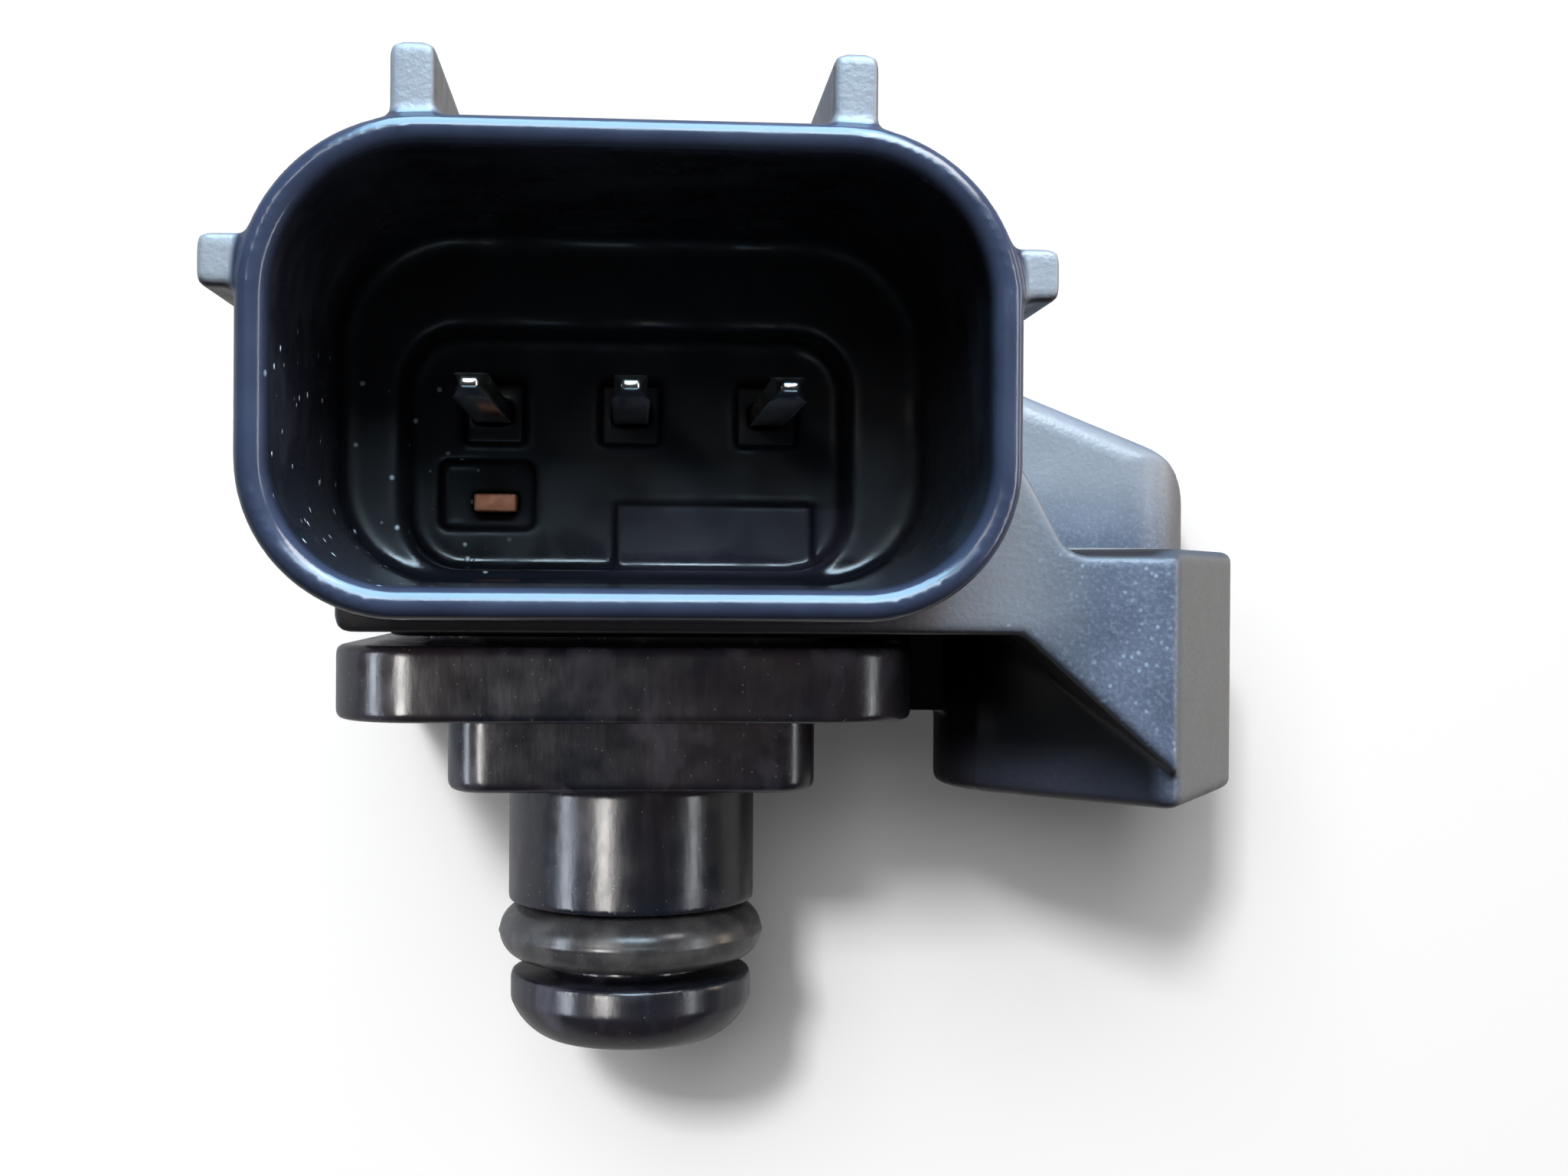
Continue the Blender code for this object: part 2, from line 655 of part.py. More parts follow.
def make_chamber(cutters):
    """Hollow that opens at the underside: recess for the cover's tongue, then room for the board."""
    outline = rounded_square(RECESS_WIDTH, TONGUE_CORNER)
    recess = extruded("cover_recess", outline, LIP_LOW - OVERLAP, RECESS_TOP, cutters)
    half = CHAMBER_WIDTH / 2
    outline = rounded_rectangle(-half, half, CHAMBER_FRONT, CHAMBER_BACK, CHAMBER_CORNER)
    room = extruded("chamber_room", outline, RECESS_TOP - OVERLAP, LEDGE_Z, cutters)
    half -= LEDGE_WIDTH
    outline = rounded_rectangle(-half, half, CHAMBER_FRONT, CHAMBER_BACK - LEDGE_WIDTH, CHAMBER_CORNER)
    head = extruded("chamber_head", outline, LEDGE_Z - OVERLAP, CHAMBER_TOP, cutters)
    return [recess, room, head]


def make_port_cover(parts, cutters):
    """Flange, step, nozzle with ring groove and tongue, with the pressure bore through it."""
    half = FLANGE_WIDTH / 2
    outline = rounded_rectangle(FLANGE_SHIFT - half, FLANGE_SHIFT + half, -half, half, FLANGE_CORNER)
    cover = extruded("port_cover", outline, FLANGE_LOW, FLANGE_TOP, parts)
    bevel(cover, FLANGE_EDGE, 2)
    outline = rounded_square(STEP_WIDTH, STEP_CORNER)
    step = extruded("cover_step", outline, 0.0, FLANGE_LOW + OVERLAP, cutters)
    bevel(step, STEP_EDGE, 2)
    fillet = SHANK_ROOT_FILLET
    profile = [(0.0, OVERLAP), (SHANK_RADIUS + fillet, OVERLAP)]
    profile += arc((SHANK_RADIUS + fillet, -fillet), fillet, 90, 180, 4)
    profile += [(SHANK_RADIUS, GROOVE_TOP), (GROOVE_RADIUS, GROOVE_TOP), (GROOVE_RADIUS, GROOVE_LOW)]
    profile.append((TIP_RADIUS, GROOVE_LOW))
    for angle in (0, 15, 30, 45, 60, 75, 90):
        share = angle / 90
        inward = (share + 1 - math.cos(deg(angle))) / 2
        down = (share + math.sin(deg(angle))) / 2
        radius = TIP_RADIUS - (TIP_RADIUS - TIP_END_RADIUS) * inward
        profile.append((radius, TIP_LOW + TIP_ROUND * (1 - down)))
    profile.append((0.0, TIP_LOW))
    nozzle = turned("nozzle", profile, cutters)
    outline = rounded_square(TONGUE_WIDTH, TONGUE_CORNER)
    tongue = extruded("cover_tongue", outline, FLANGE_TOP - OVERLAP, TONGUE_TOP, cutters)
    outline = rounded_square(TONGUE_WIDTH - 2 * TONGUE_WALL, TONGUE_CORNER / 2)
    hollow = extruded("tongue_hollow", outline, FLANGE_TOP, TONGUE_TOP + OVERLAP, cutters)
    cut(tongue, hollow)
    join(cover, step, nozzle, tongue)
    high = FLANGE_TOP + OVERLAP
    low = TIP_LOW - OVERLAP
    profile = [(0.0, high), (BORE_FUNNEL_RADIUS, high), (BORE_FUNNEL_RADIUS, FLANGE_TOP)]
    profile += [(BORE_RADIUS, FLANGE_TOP - BORE_FUNNEL_DEPTH), (BORE_RADIUS, low), (0.0, low)]
    cut(cover, turned("pressure_bore", profile, cutters, 32))
    return cover


def make_ring(parts):
    """Rubber ring in the nozzle's groove."""
    radius = RING_SECTION / 2
    centre = (GROOVE_RADIUS + FINE_GAP + radius, GROOVE_TOP - FINE_GAP - radius)
    section = arc(centre, radius, 90, -270, 20)[:-1]
    return turned("o_ring", section, parts)


def make_bush(parts):
    """Steel bush in the ear, a little proud of both faces."""
    edge = BUSH_EDGE
    inner = BUSH_INNER_RADIUS
    outer = BUSH_OUTER_RADIUS
    high = EAR_HEIGHT + BUSH_PROUD
    profile = [(inner + edge, high), (outer - edge, high), (outer, high - edge), (outer, edge)]
    profile += [(outer - edge, 0.0), (inner + edge, 0.0), (inner, edge), (inner, high - edge)]
    bush = turned("ear_bush", profile, parts, 40)
    bush.location = (HOLE_X, HOLE_Y, 0.0)
    return bush


def make_seal_bead(parts, cutters):
    """Adhesive bead on top of the cover's tongue, closed in by the housing's recess."""
    inner = TONGUE_WIDTH - 2 * TONGUE_WALL
    low = TONGUE_TOP + FINE_GAP
    high = RECESS_TOP - FINE_GAP
    bead = extruded("cover_seal_bead", rounded_square(TONGUE_WIDTH, TONGUE_CORNER), low, high, parts)
    outline = rounded_square(inner, TONGUE_CORNER / 2)
    hollow = extruded("bead_hollow", outline, low - OVERLAP, high + OVERLAP, cutters)
    cut(bead, hollow)
    return bead


def make_terminal(side, x, parts):
    """Tinned strip: chamfered tip, straight blade through the wall, leg bent down to the board."""
    tip = MOUTH_Y + PIN_TIP_BACK
    leg_low = BOARD_TOP + FINE_GAP
    leg_front = LEG_BACK - PIN_THICKNESS
    half = PIN_THICKNESS / 2
    outline = [(tip, PIN_Z - half * PIN_TIP_SHARE), (tip + PIN_TIP_LENGTH, PIN_Z - half),
               (leg_front, PIN_Z - half), (leg_front, leg_low), (LEG_BACK, leg_low)]
    outline += arc((leg_front, PIN_Z - half), PIN_THICKNESS, 0, 90, 4)
    outline += [(tip + PIN_TIP_LENGTH, PIN_Z + half), (tip, PIN_Z + half * PIN_TIP_SHARE)]
    blade = extruded("terminal_" + side, outline, -PIN_WIDTH / 2, PIN_WIDTH / 2, parts)
    turn = Matrix(((0, 0, 1, x), (1, 0, 0, 0), (0, 1, 0, 0), (0, 0, 0, 1)))
    blade.data.transform(turn)
    bm = bmesh.new()
    bm.from_mesh(blade.data)
    for vertex in bm.verts:
        if vertex.co.y < tip + PIN_TIP_LENGTH / 2:
            vertex.co.x = x + (vertex.co.x - x) * PIN_TIP_SHARE
    bm.to_mesh(blade.data)
    bm.free()
    bevel(blade, PIN_THICKNESS * EDGE_SHARE, 1)
    return blade


def make_trim_terminal(parts):
    """Copper coloured strip whose end shows in the window."""
    low = (TRIM_X - TRIM_WIDTH / 2, POCKET_FLOOR + FINE_GAP, TRIM_Z - TRIM_THICKNESS / 2)
    high = (TRIM_X + TRIM_WIDTH / 2, LEG_BACK, TRIM_Z + TRIM_THICKNESS / 2)
    strip = box("trim_terminal", low, high, parts)
    bevel(strip, TRIM_THICKNESS * EDGE_SHARE, 1)
    return strip


def make_board(parts):
    """Ceramic board that follows the chamber's outline at a seat gap."""
    corner = CHAMBER_CORNER - SEAT_GAP
    outline = rounded_rectangle(-BOARD_HALF, BOARD_HALF, BOARD_FRONT, BOARD_BACK, corner)
    return extruded("sensor_base", outline, BOARD_LOW, BOARD_TOP, parts)


def hung_box(name, centre_x, centre_y, size, top, parts):
    """A small component under the board, with its upper face at top."""
    centre = (centre_x, centre_y, top - size[2] / 2)
    made = centred_box(name, centre, size, parts)
    bevel(made, min(size) * EDGE_SHARE, 1)
    return made


def make_sensing_parts(parts, cutters):
    """Glass, chip, circuit, capacitors, wires and gel on the board's underside."""
    top = BOARD_LOW - FINE_GAP
    size = (GLASS_SIZE, GLASS_SIZE, ADHESIVE_THICKNESS)
    made = {"chip_adhesive": hung_box("chip_adhesive", 0.0, SENSE_Y, size, top, parts)}
    glass_top = top - ADHESIVE_THICKNESS - FINE_GAP
    size = (GLASS_SIZE, GLASS_SIZE, GLASS_THICKNESS)
    made["glass_pedestal"] = hung_box("glass_pedestal", 0.0, SENSE_Y, size, glass_top, parts)
    chip_top = glass_top - GLASS_THICKNESS - FINE_GAP
    size = (CHIP_SIZE, CHIP_SIZE, CHIP_THICKNESS)
    made["pressure_chip"] = hung_box("pressure_chip", 0.0, SENSE_Y, size, chip_top, parts)
    chip_low = chip_top - CHIP_THICKNESS
    size = (SIGNAL_SIZE, SIGNAL_SIZE, SIGNAL_THICKNESS)
    made["signal_chip"] = hung_box("signal_chip", 0.0, SIGNAL_Y, size, top, parts)
    capacitor_x = PIN_PITCH - CAPACITOR_INSET
    for name, sign in (("capacitor_supply", -1), ("capacitor_signal", 1)):
        made[name] = hung_box(name, sign * capacitor_x, CAPACITOR_Y, CAPACITOR_SIZE, top, parts)
    for number, place in enumerate((-1.5, -0.5, 0.5, 1.5), 1):
        made["bond_wire_%d" % number] = make_bond_wire(number, place * WIRE_SPREAD, chip_low, top, parts)
    made["protective_gel"] = make_gel(top, chip_low, parts, cutters)
    return made


def make_bond_wire(number, x, chip_low, board_low, parts):
    """Fine arched wire from the chip's face to the board beside the glass."""
    name = "bond_wire_%d" % number
    curve = bpy.data.curves.new(name, "CURVE")
    curve.dimensions = "3D"
    curve.bevel_depth = WIRE_RADIUS
    curve.bevel_resolution = 1
    curve.use_fill_caps = True
    spline = curve.splines.new("POLY")
    start = Vector((x, SENSE_Y + CHIP_SIZE * WIRE_PAD_SHARE, chip_low - WIRE_RADIUS - FINE_GAP))
    end = Vector((x * WIRE_FAN, SENSE_Y + GLASS_SIZE / 2 + WIRE_LANDING, board_low - WIRE_RADIUS))
    spline.points.add(WIRE_STEPS)
    for i, point in enumerate(spline.points):
        share = i / WIRE_STEPS
        place = start.lerp(end, share)
        place.y += WIRE_BOW * math.sin(math.pi * share)
        place.z -= WIRE_SAG * math.sin(math.pi * share)
        point.co = (*place, 1.0)
    return finish_object(bpy.data.objects.new(name, curve), parts)


def make_gel(board_low, chip_low, parts, cutters):
    """Soft gel dome over the chip, hollow at the board's side where the chip and wires sit."""
    low = board_low - GEL_HEIGHT
    radius = GEL_RADIUS
    dome = [(0.0, board_low), (radius, board_low)]
    for angle in (15, 30, 45, 60, 75):
        dome.append((radius * math.cos(deg(angle)), board_low - GEL_HEIGHT * math.sin(deg(angle))))
    dome.append((0.0, low))
    gel = turned("protective_gel", dome, parts, 40)
    gel.location = (0.0, SENSE_Y + GEL_SHIFT, 0.0)
    room_low = (-GLASS_SIZE / 2 - FINE_GAP, SENSE_Y - GLASS_SIZE / 2 - FINE_GAP, chip_low - GEL_ROOM_LOW)
    room_high = (GLASS_SIZE / 2 + FINE_GAP, SENSE_Y + GLASS_SIZE / 2 + GEL_ROOM_BACK, board_low + OVERLAP)
    room = box("gel_room", room_low, room_high, cutters)
    cut(gel, room)
    return gel


def make_joints(parts):
    """Solder at each terminal's leg on the board's upper side."""
    joints = {}
    leg = LEG_BACK - PIN_THICKNESS / 2
    low = BOARD_TOP + FINE_GAP
    inner = math.hypot(PIN_WIDTH, PIN_THICKNESS) / 2 + FINE_GAP / 2
    outer = inner + JOINT_WALL
    high = low + JOINT_HEIGHT
    for side, x in PIN_ROWS.items():
        crown = inner + JOINT_WALL * JOINT_CROWN_SHARE
        profile = [(crown, high), (outer, low), (inner, low), (inner, high)]
        joint = turned("lead_joint_" + side, profile, parts, 24)
        joint.location = (x, leg, 0.0)
        joints["lead_joint_" + side] = joint
    return joints


def smooth(obj):
    if obj.type == "MESH":
        obj.data.shade_smooth()
        obj.data.set_sharp_from_angle(angle=deg(SHARP_ANGLE))


def build():
    for obj in list(bpy.data.objects):
        bpy.data.objects.remove(obj)
    parts = new_collection("manifold_pressure_sensor")
    cutters = new_collection("cutters")
    plastic = material("black_glass_filled_plastic", (0.035, 0.037, 0.045), 0.42)
    cover_plastic = material("dark_grey_plastic", (0.045, 0.040, 0.040), 0.38)
    rubber = material("black_rubber", (0.03, 0.03, 0.03), 0.5)
    tin = material("tinned_brass", (0.78, 0.76, 0.72), 0.25, 1.0)
    copper = material("copper", (0.72, 0.33, 0.16), 0.35, 1.0)
    steel = material("zinc_plated_steel", (0.62, 0.62, 0.60), 0.35, 1.0)
    sealant = material("grey_sealant", (0.20, 0.20, 0.19), 0.6)
    ceramic = material("white_ceramic", (0.80, 0.79, 0.75), 0.6)
    glass = material("chip_glass", (0.70, 0.74, 0.72), 0.15)
    silicon = material("silicon", (0.16, 0.17, 0.20), 0.2, 0.6)
    resin = material("black_resin", (0.02, 0.02, 0.02), 0.5)
    cap_body = material("capacitor_ceramic", (0.42, 0.30, 0.20), 0.5)
    gold = material("gold_wire", (0.90, 0.68, 0.28), 0.2, 1.0)
    gel = material("clear_gel", (0.75, 0.78, 0.76), 0.1)
    solder = material("solder", (0.66, 0.66, 0.64), 0.3, 1.0)

    dress(make_housing(parts, cutters), plastic)
    dress(make_port_cover(parts, cutters), cover_plastic)
    dress(make_ring(parts), rubber)
    dress(make_bush(parts), steel)
    dress(make_seal_bead(parts, cutters), sealant)
    for side, x in PIN_ROWS.items():
        dress(make_terminal(side, x, parts), tin)
    dress(make_trim_terminal(parts), copper)
    dress(make_board(parts), ceramic)
    looks = {"glass_pedestal": glass, "pressure_chip": silicon, "chip_adhesive": sealant}
    looks.update({"signal_chip": resin, "protective_gel": gel})
    looks.update({"capacitor_supply": cap_body, "capacitor_signal": cap_body})
    for name, obj in make_sensing_parts(parts, cutters).items():
        dress(obj, looks.get(name, gold))
    for obj in make_joints(parts).values():
        dress(obj, solder)
    for obj in list(parts.objects):
        smooth(obj)


build()
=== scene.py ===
import json
from math import acos, asin, atan2, cos, degrees, exp, pi, radians, sin, sqrt, tan, tau

import bmesh
import bpy
from mathutils import Matrix, Vector

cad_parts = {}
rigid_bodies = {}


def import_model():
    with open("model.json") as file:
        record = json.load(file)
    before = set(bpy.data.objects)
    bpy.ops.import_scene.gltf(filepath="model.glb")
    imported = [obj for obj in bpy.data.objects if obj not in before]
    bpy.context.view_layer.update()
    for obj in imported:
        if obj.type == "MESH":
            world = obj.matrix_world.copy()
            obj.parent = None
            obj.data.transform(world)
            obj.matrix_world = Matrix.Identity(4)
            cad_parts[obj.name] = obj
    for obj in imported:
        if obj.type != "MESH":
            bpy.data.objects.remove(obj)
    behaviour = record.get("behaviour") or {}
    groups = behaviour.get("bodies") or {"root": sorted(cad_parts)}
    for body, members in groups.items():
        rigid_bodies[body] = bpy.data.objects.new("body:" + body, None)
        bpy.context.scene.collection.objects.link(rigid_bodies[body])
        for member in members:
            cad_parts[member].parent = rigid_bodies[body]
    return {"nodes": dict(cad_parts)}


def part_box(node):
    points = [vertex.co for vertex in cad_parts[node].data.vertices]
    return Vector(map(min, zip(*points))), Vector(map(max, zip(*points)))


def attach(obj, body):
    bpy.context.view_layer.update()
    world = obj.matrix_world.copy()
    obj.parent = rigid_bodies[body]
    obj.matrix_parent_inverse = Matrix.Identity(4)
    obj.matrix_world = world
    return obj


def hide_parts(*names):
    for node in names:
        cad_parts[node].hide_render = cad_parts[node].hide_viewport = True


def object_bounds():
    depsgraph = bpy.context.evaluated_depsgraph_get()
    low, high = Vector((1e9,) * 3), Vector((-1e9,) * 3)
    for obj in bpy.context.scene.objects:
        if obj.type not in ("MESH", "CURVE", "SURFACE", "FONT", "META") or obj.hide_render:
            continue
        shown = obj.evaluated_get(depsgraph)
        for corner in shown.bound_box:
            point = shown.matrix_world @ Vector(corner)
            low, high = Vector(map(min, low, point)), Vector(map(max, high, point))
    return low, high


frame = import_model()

CAD_LOW, CAD_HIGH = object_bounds()

# Clearances
SEAT_GAP = 0.0003
FINE_GAP = 0.0001
OVERLAP = 0.0005

# Port cover: the square flange, the step under it and the nozzle
FLANGE_WIDTH = 0.0213
FLANGE_SHIFT = -0.00023
FLANGE_CORNER = 0.0032
FLANGE_LOW = 0.0029
FLANGE_THICKNESS = 0.00275
FLANGE_EDGE = 0.0003
STEP_WIDTH = 0.0140
STEP_CORNER = 0.0016
STEP_EDGE = 0.0004
SHANK_RADIUS = 0.0050
SHANK_LENGTH = 0.0050
SHANK_ROOT_FILLET = 0.0004
GROOVE_RADIUS = 0.0030
GROOVE_HEIGHT = 0.0029
TIP_RADIUS = 0.0049
TIP_BAND = 0.0011
TIP_END_RADIUS = 0.0035
TIP_ROUND = 0.0015
BORE_RADIUS = 0.0016
BORE_FUNNEL_RADIUS = 0.0030
BORE_FUNNEL_DEPTH = 0.0015
TONGUE_HEIGHT = 0.0010
TONGUE_WALL = 0.0010
TONGUE_CORNER = 0.0016
BEAD_ROOM = 0.0008

# Housing: lower block, body and the lip that meets the port cover
UNDERSIDE = 0.0062
LIP_WIDTH = 0.0178
LIP_WALL = 0.0010
BLOCK_LEFT = -0.0102
BLOCK_RIGHT = 0.0106
BLOCK_FRONT = -0.0127
BLOCK_CORNER = 0.0016
WALL_STEP = 0.0001
BODY_TOP = 0.0191
BODY_BACK = 0.0104
BODY_EDGE = 0.0008

# Connector shroud
MOUTH_Y = -0.0210
SHROUD_WIDTH = 0.0240
SHROUD_LOW = 0.0068
SHROUD_HIGH = 0.0221
SHROUD_TOP_RADIUS = 0.0056
SHROUD_BOTTOM_RADIUS = 0.0049
SHROUD_WALL = 0.0010
SHROUD_DRAFT = radians(0.5)
RIM_FILLET = 0.00052
RIM_EDGE = 0.00042
CAVITY_DEPTH = 0.0145
CAVITY_FLOOR_FILLET = 0.0005
BACK_WALL = 0.0020

# Pocket in the cavity's floor, with its shelf and the pin bosses
POCKET_X = -0.00025
POCKET_WIDTH = 0.0169
POCKET_LOW = 0.0084
POCKET_HEIGHT = 0.0091
POCKET_DEPTH = 0.0030
POCKET_CORNER = 0.0022
POCKET_FILLET = 0.00035
SHELF_HEIGHT = 0.0026
SHELF_PROUD = 0.0006
SHELF_LEFT = -0.0007
SHELF_RIGHT = 0.0070
WINDOW_WIDTH = 0.0037
WINDOW_HEIGHT = 0.0027
WINDOW_DEPTH = 0.0009
WINDOW_SHIFT = -0.0003
WINDOW_Z = 0.01135

# Keying ribs on the shroud
TOP_RIB_X = 0.00675
TOP_RIB_WIDTH = 0.0014
TOP_RIB_HEIGHT = 0.0022
SIDE_RIB_Z = 0.0176
SIDE_RIB_WIDTH = 0.00165
SIDE_RIB_HEIGHT = 0.00115
RIB_LENGTH = 0.0130
RIB_EDGE = 0.0003
RIB_FOOT = 0.0003

# Pins
PIN_PITCH = 0.0053
PIN_MIDDLE_X = -0.00013
PIN_WIDTH = 0.0013
PIN_THICKNESS = 0.0008
PIN_Z = 0.0145
PIN_TIP_BACK = 0.0052
PIN_TIP_LENGTH = 0.0009
PIN_TIP_SHARE = 0.45
PIN_BOSS_WIDTH = 0.0023
PIN_BOSS_HEIGHT = 0.0023
PIN_BOSS_LENGTH = 0.0007
TRIM_WIDTH = 0.00165
TRIM_THICKNESS = 0.0007
LEG_REACH = 0.0022

# Bolt ear, its gusset and the shoulder behind it
HOLE_X = 0.0180
HOLE_Y = -0.0030
EAR_RADIUS = 0.0059
EAR_POINT_X = 0.0192
EAR_POINT_RADIUS = 0.0006
EAR_HEIGHT = 0.0093
EAR_EDGE = 0.0003
BUSH_OUTER_RADIUS = 0.0042
BUSH_INNER_RADIUS = 0.0032
BUSH_EDGE = 0.0003
GUSSET_CORNER = 0.00045
GUSSET_FOOT = 0.0012
GUSSET_TOP = 0.0090
GUSSET_KNEE_X = 0.0137
WEB_THICKNESS = 0.0028
GUSSET_BACK = -0.0040
WEB_TOP = 0.0120
WEB_TOP_X = 0.0137
WEB_TOE_X = 0.0153
WEB_TOE_RADIUS = 0.0013
GUSSET_EDGE = 0.0003
SHOULDER_FRONT = 0.0030
SHOULDER_RIGHT = 0.0247
SHOULDER_CORNER = 0.0034
SHOULDER_BACK_CORNER = 0.0016
SHOULDER_SLOPE = radians(-21.5)
SHOULDER_CREST_X = 0.0103
SHOULDER_TIP_RADIUS = 0.0035
SHOULDER_EDGE = 0.0011

# Chamber for the board
CHAMBER_MARGIN = 0.0020
CHAMBER_FRONT = -0.0016
CHAMBER_BACK = 0.0077
CHAMBER_CORNER = 0.0012
LEDGE_WIDTH = 0.0006
BOARD_TOP = 0.0125
BOARD_THICKNESS = 0.0008
HEADROOM = 0.0038

# Steps of a corner, a full turn, the nozzle's nose and the ring's section
ARC_STEPS = 24
TURN_STEPS = 128
RING_TURN_STEPS = 160
BORE_TURN_STEPS = 64
NOSE_STEPS = 12
RING_STEPS = 72

# Detail that only the looks have
LAND_EDGE = 0.00012
FLASH_HEIGHT = 0.00004
FLASH_SPREAD = 4.0
GRAIN = 0.00015
COVER_GRAIN = 0.00012
SHORT = 0.000001
MERGE_REACH = 0.00001

# Where the housing's tones, its painted light and its painted shade start and end
SKIN_FADE = 0.0002
UPPER_FRONT_LIGHT_RISE = (0.0098, 0.0128)
UPPER_FRONT_LIGHT_EASE = (0.0175, 0.0190)
WEB_LIGHT_SIDE = (0.0132, 0.0165)
WEB_LIGHT_RISE = (0.0052, 0.0070)
WEB_LIGHT_DEPTH = 0.0040
GLASS_FALL = (0.0098, 0.0088)
LEDGE_SHADE_EASE = (0.0122, 0.0130)
FOOT_SHADE = (0.0008, 0.0022)
WEB_SHADE_START = 0.0030
WEB_SHADE_END = 0.0006
SPECK_SIDE = (-0.0062, -0.0046)
SPECK_EASE = (0.0150, 0.0165)
DULL_DEPTH = 0.0020

# Stage, lamps and camera, from the photograph
TABLE_GAP = 0.0002
TABLE_HALF = 1.5
TABLE_WHITE = 0.9
TABLE_BOUNCE = 0.25
TABLE_SHEEN = 0.22
TABLE_GLOW = 0.05
STUDIO_FRONT = 0.03
STUDIO_LOW = 0.3
FILL_LOW = 0.02
FILL_HIGH = 0.26
AIM = Vector((0.004, -0.008, 0.008))
PICTURE_WIDTH = 2048
FOCAL_PIXELS = 2500
SENSOR_WIDTH = 36.0
CAMERA_PLACE = (0.0, -0.0791, 0.0081)
CAMERA_YAW = 4.5
CAMERA_PITCH = 0.25
CAMERA_ROLL = 0.4

# The scene's own home for objects, and the home of shapes that are only used to build others
SHOWN = bpy.context.scene.collection
WORKING = bpy.data.collections.new("working_shapes")
SHOWN.children.link(WORKING)


def arc(centre, radius, start, end, steps=ARC_STEPS):
    """Points along an arc, angles in degrees, both ends included."""
    turns = [radians(start + (end - start) * i / steps) for i in range(steps + 1)]
    return [(centre[0] + radius * cos(turn), centre[1] + radius * sin(turn)) for turn in turns]


def rounded_rectangle(left, right, low, high, low_radius, high_radius=None):
    """Counter-clockwise outline, with its own corner radius at the bottom and at the top."""
    top = low_radius if high_radius is None else high_radius
    outline = arc((left + low_radius, low + low_radius), low_radius, 180, 270)
    outline += arc((right - low_radius, low + low_radius), low_radius, 270, 360)
    outline += arc((right - top, high - top), top, 0, 90)
    outline += arc((left + top, high - top), top, 90, 180)
    return outline


def rounded_square(width, corner, middle_x=0.0):
    half = width / 2
    return rounded_rectangle(middle_x - half, middle_x + half, -half, half, corner)


def added(name, data, home=WORKING):
    """New object among the working shapes, or in the home that is named."""
    obj = bpy.data.objects.new(name, data)
    home.objects.link(obj)
    return obj


def solid(name, bm, home=WORKING):
    """New mesh object of the shape that was built in bm."""
    mesh = bpy.data.meshes.new(name)
    bm.to_mesh(mesh)
    bm.free()
    return added(name, mesh, home)


def evaluated_mesh(obj, name):
    """New mesh of the object's shape with its modifiers applied."""
    bpy.context.view_layer.update()
    mesh = bpy.data.meshes.new_from_object(obj.evaluated_get(bpy.context.evaluated_depsgraph_get()))
    mesh.name = name
    return mesh


def loft(name, rings):
    """Closed solid through rings of equal count, each a list of world points."""
    bm = bmesh.new()
    loops = [[bm.verts.new(point) for point in ring] for ring in rings]
    count = len(loops[0])
    for lower, upper in zip(loops, loops[1:]):
        for i in range(count):
            j = (i + 1) % count
            bm.faces.new((lower[i], lower[j], upper[j], upper[i]))
    bm.faces.new(list(reversed(loops[0])))
    bm.faces.new(loops[-1])
    bmesh.ops.recalc_face_normals(bm, faces=bm.faces)
    return solid(name, bm)


def extruded(name, outline, low, high, along="Z"):
    """Flat outline as a filled 2D curve, extruded along Z or along Y, then made a mesh."""
    curve = bpy.data.curves.new(name + "_outline", "CURVE")
    curve.dimensions = "2D"
    curve.fill_mode = "BOTH"
    curve.extrude = (high - low) / 2
    spline = curve.splines.new("POLY")
    spline.points.add(len(outline) - 1)
    for point, (u, v) in zip(spline.points, outline):
        point.co = (u, v, 0.0, 1.0)
    spline.use_cyclic_u = True
    source = added(name + "_outline", curve)
    middle = (low + high) / 2
    if along == "Y":
        source.matrix_world = Matrix.Translation((0.0, middle, 0.0)) @ Matrix.Rotation(radians(90), 4, "X")
    else:
        source.matrix_world = Matrix.Translation((0.0, 0.0, middle))
    mesh = evaluated_mesh(source, name)
    bm = bmesh.new()
    bm.from_mesh(mesh)
    bmesh.ops.remove_doubles(bm, verts=bm.verts, dist=SHORT)
    bmesh.ops.recalc_face_normals(bm, faces=bm.faces)
    bmesh.ops.dissolve_limit(bm, angle_limit=radians(0.5), verts=bm.verts, edges=bm.edges)
    bm.to_mesh(mesh)
    bm.free()
    mesh.transform(source.matrix_world)
    bpy.data.objects.remove(source)
    return added(name, mesh)


def turned(name, profile, steps=TURN_STEPS):
    """Closed profile of (radius, height) points, down its outer side first, turned about Z."""
    mesh = bpy.data.meshes.new(name)
    points = [(radius, 0.0, height) for radius, height in profile]
    edges = [(i, (i + 1) % len(points)) for i in range(len(points))]
    if profile[0][0] == 0.0 and profile[-1][0] == 0.0:
        edges.pop()
    mesh.from_pydata(points, edges, [])
    obj = added(name, mesh)
    screw = obj.modifiers.new("Turn", "SCREW")
    screw.axis = "Z"
    screw.angle = radians(360)
    screw.steps = steps
    screw.render_steps = steps
    screw.use_merge_vertices = True
    screw.merge_threshold = MERGE_REACH
    screw.use_smooth_shade = True
    return obj


def box(name, low, high):
    bm = bmesh.new()
    bmesh.ops.create_cube(bm, size=1.0)
    bmesh.ops.scale(bm, vec=Vector(high) - Vector(low), verts=bm.verts)
    bmesh.ops.translate(bm, vec=(Vector(low) + Vector(high)) / 2, verts=bm.verts)
    return solid(name, bm)


def centred_box(name, centre, size):
    half = Vector(size) / 2
    return box(name, Vector(centre) - half, Vector(centre) + half)


def bevel(obj, width, segments=2, angle=40):
    modifier = obj.modifiers.new("Bevel", "BEVEL")
    modifier.width = width
    modifier.segments = segments
    modifier.limit_method = "ANGLE"
    modifier.angle_limit = radians(angle)
    modifier.use_clamp_overlap = True
    return modifier


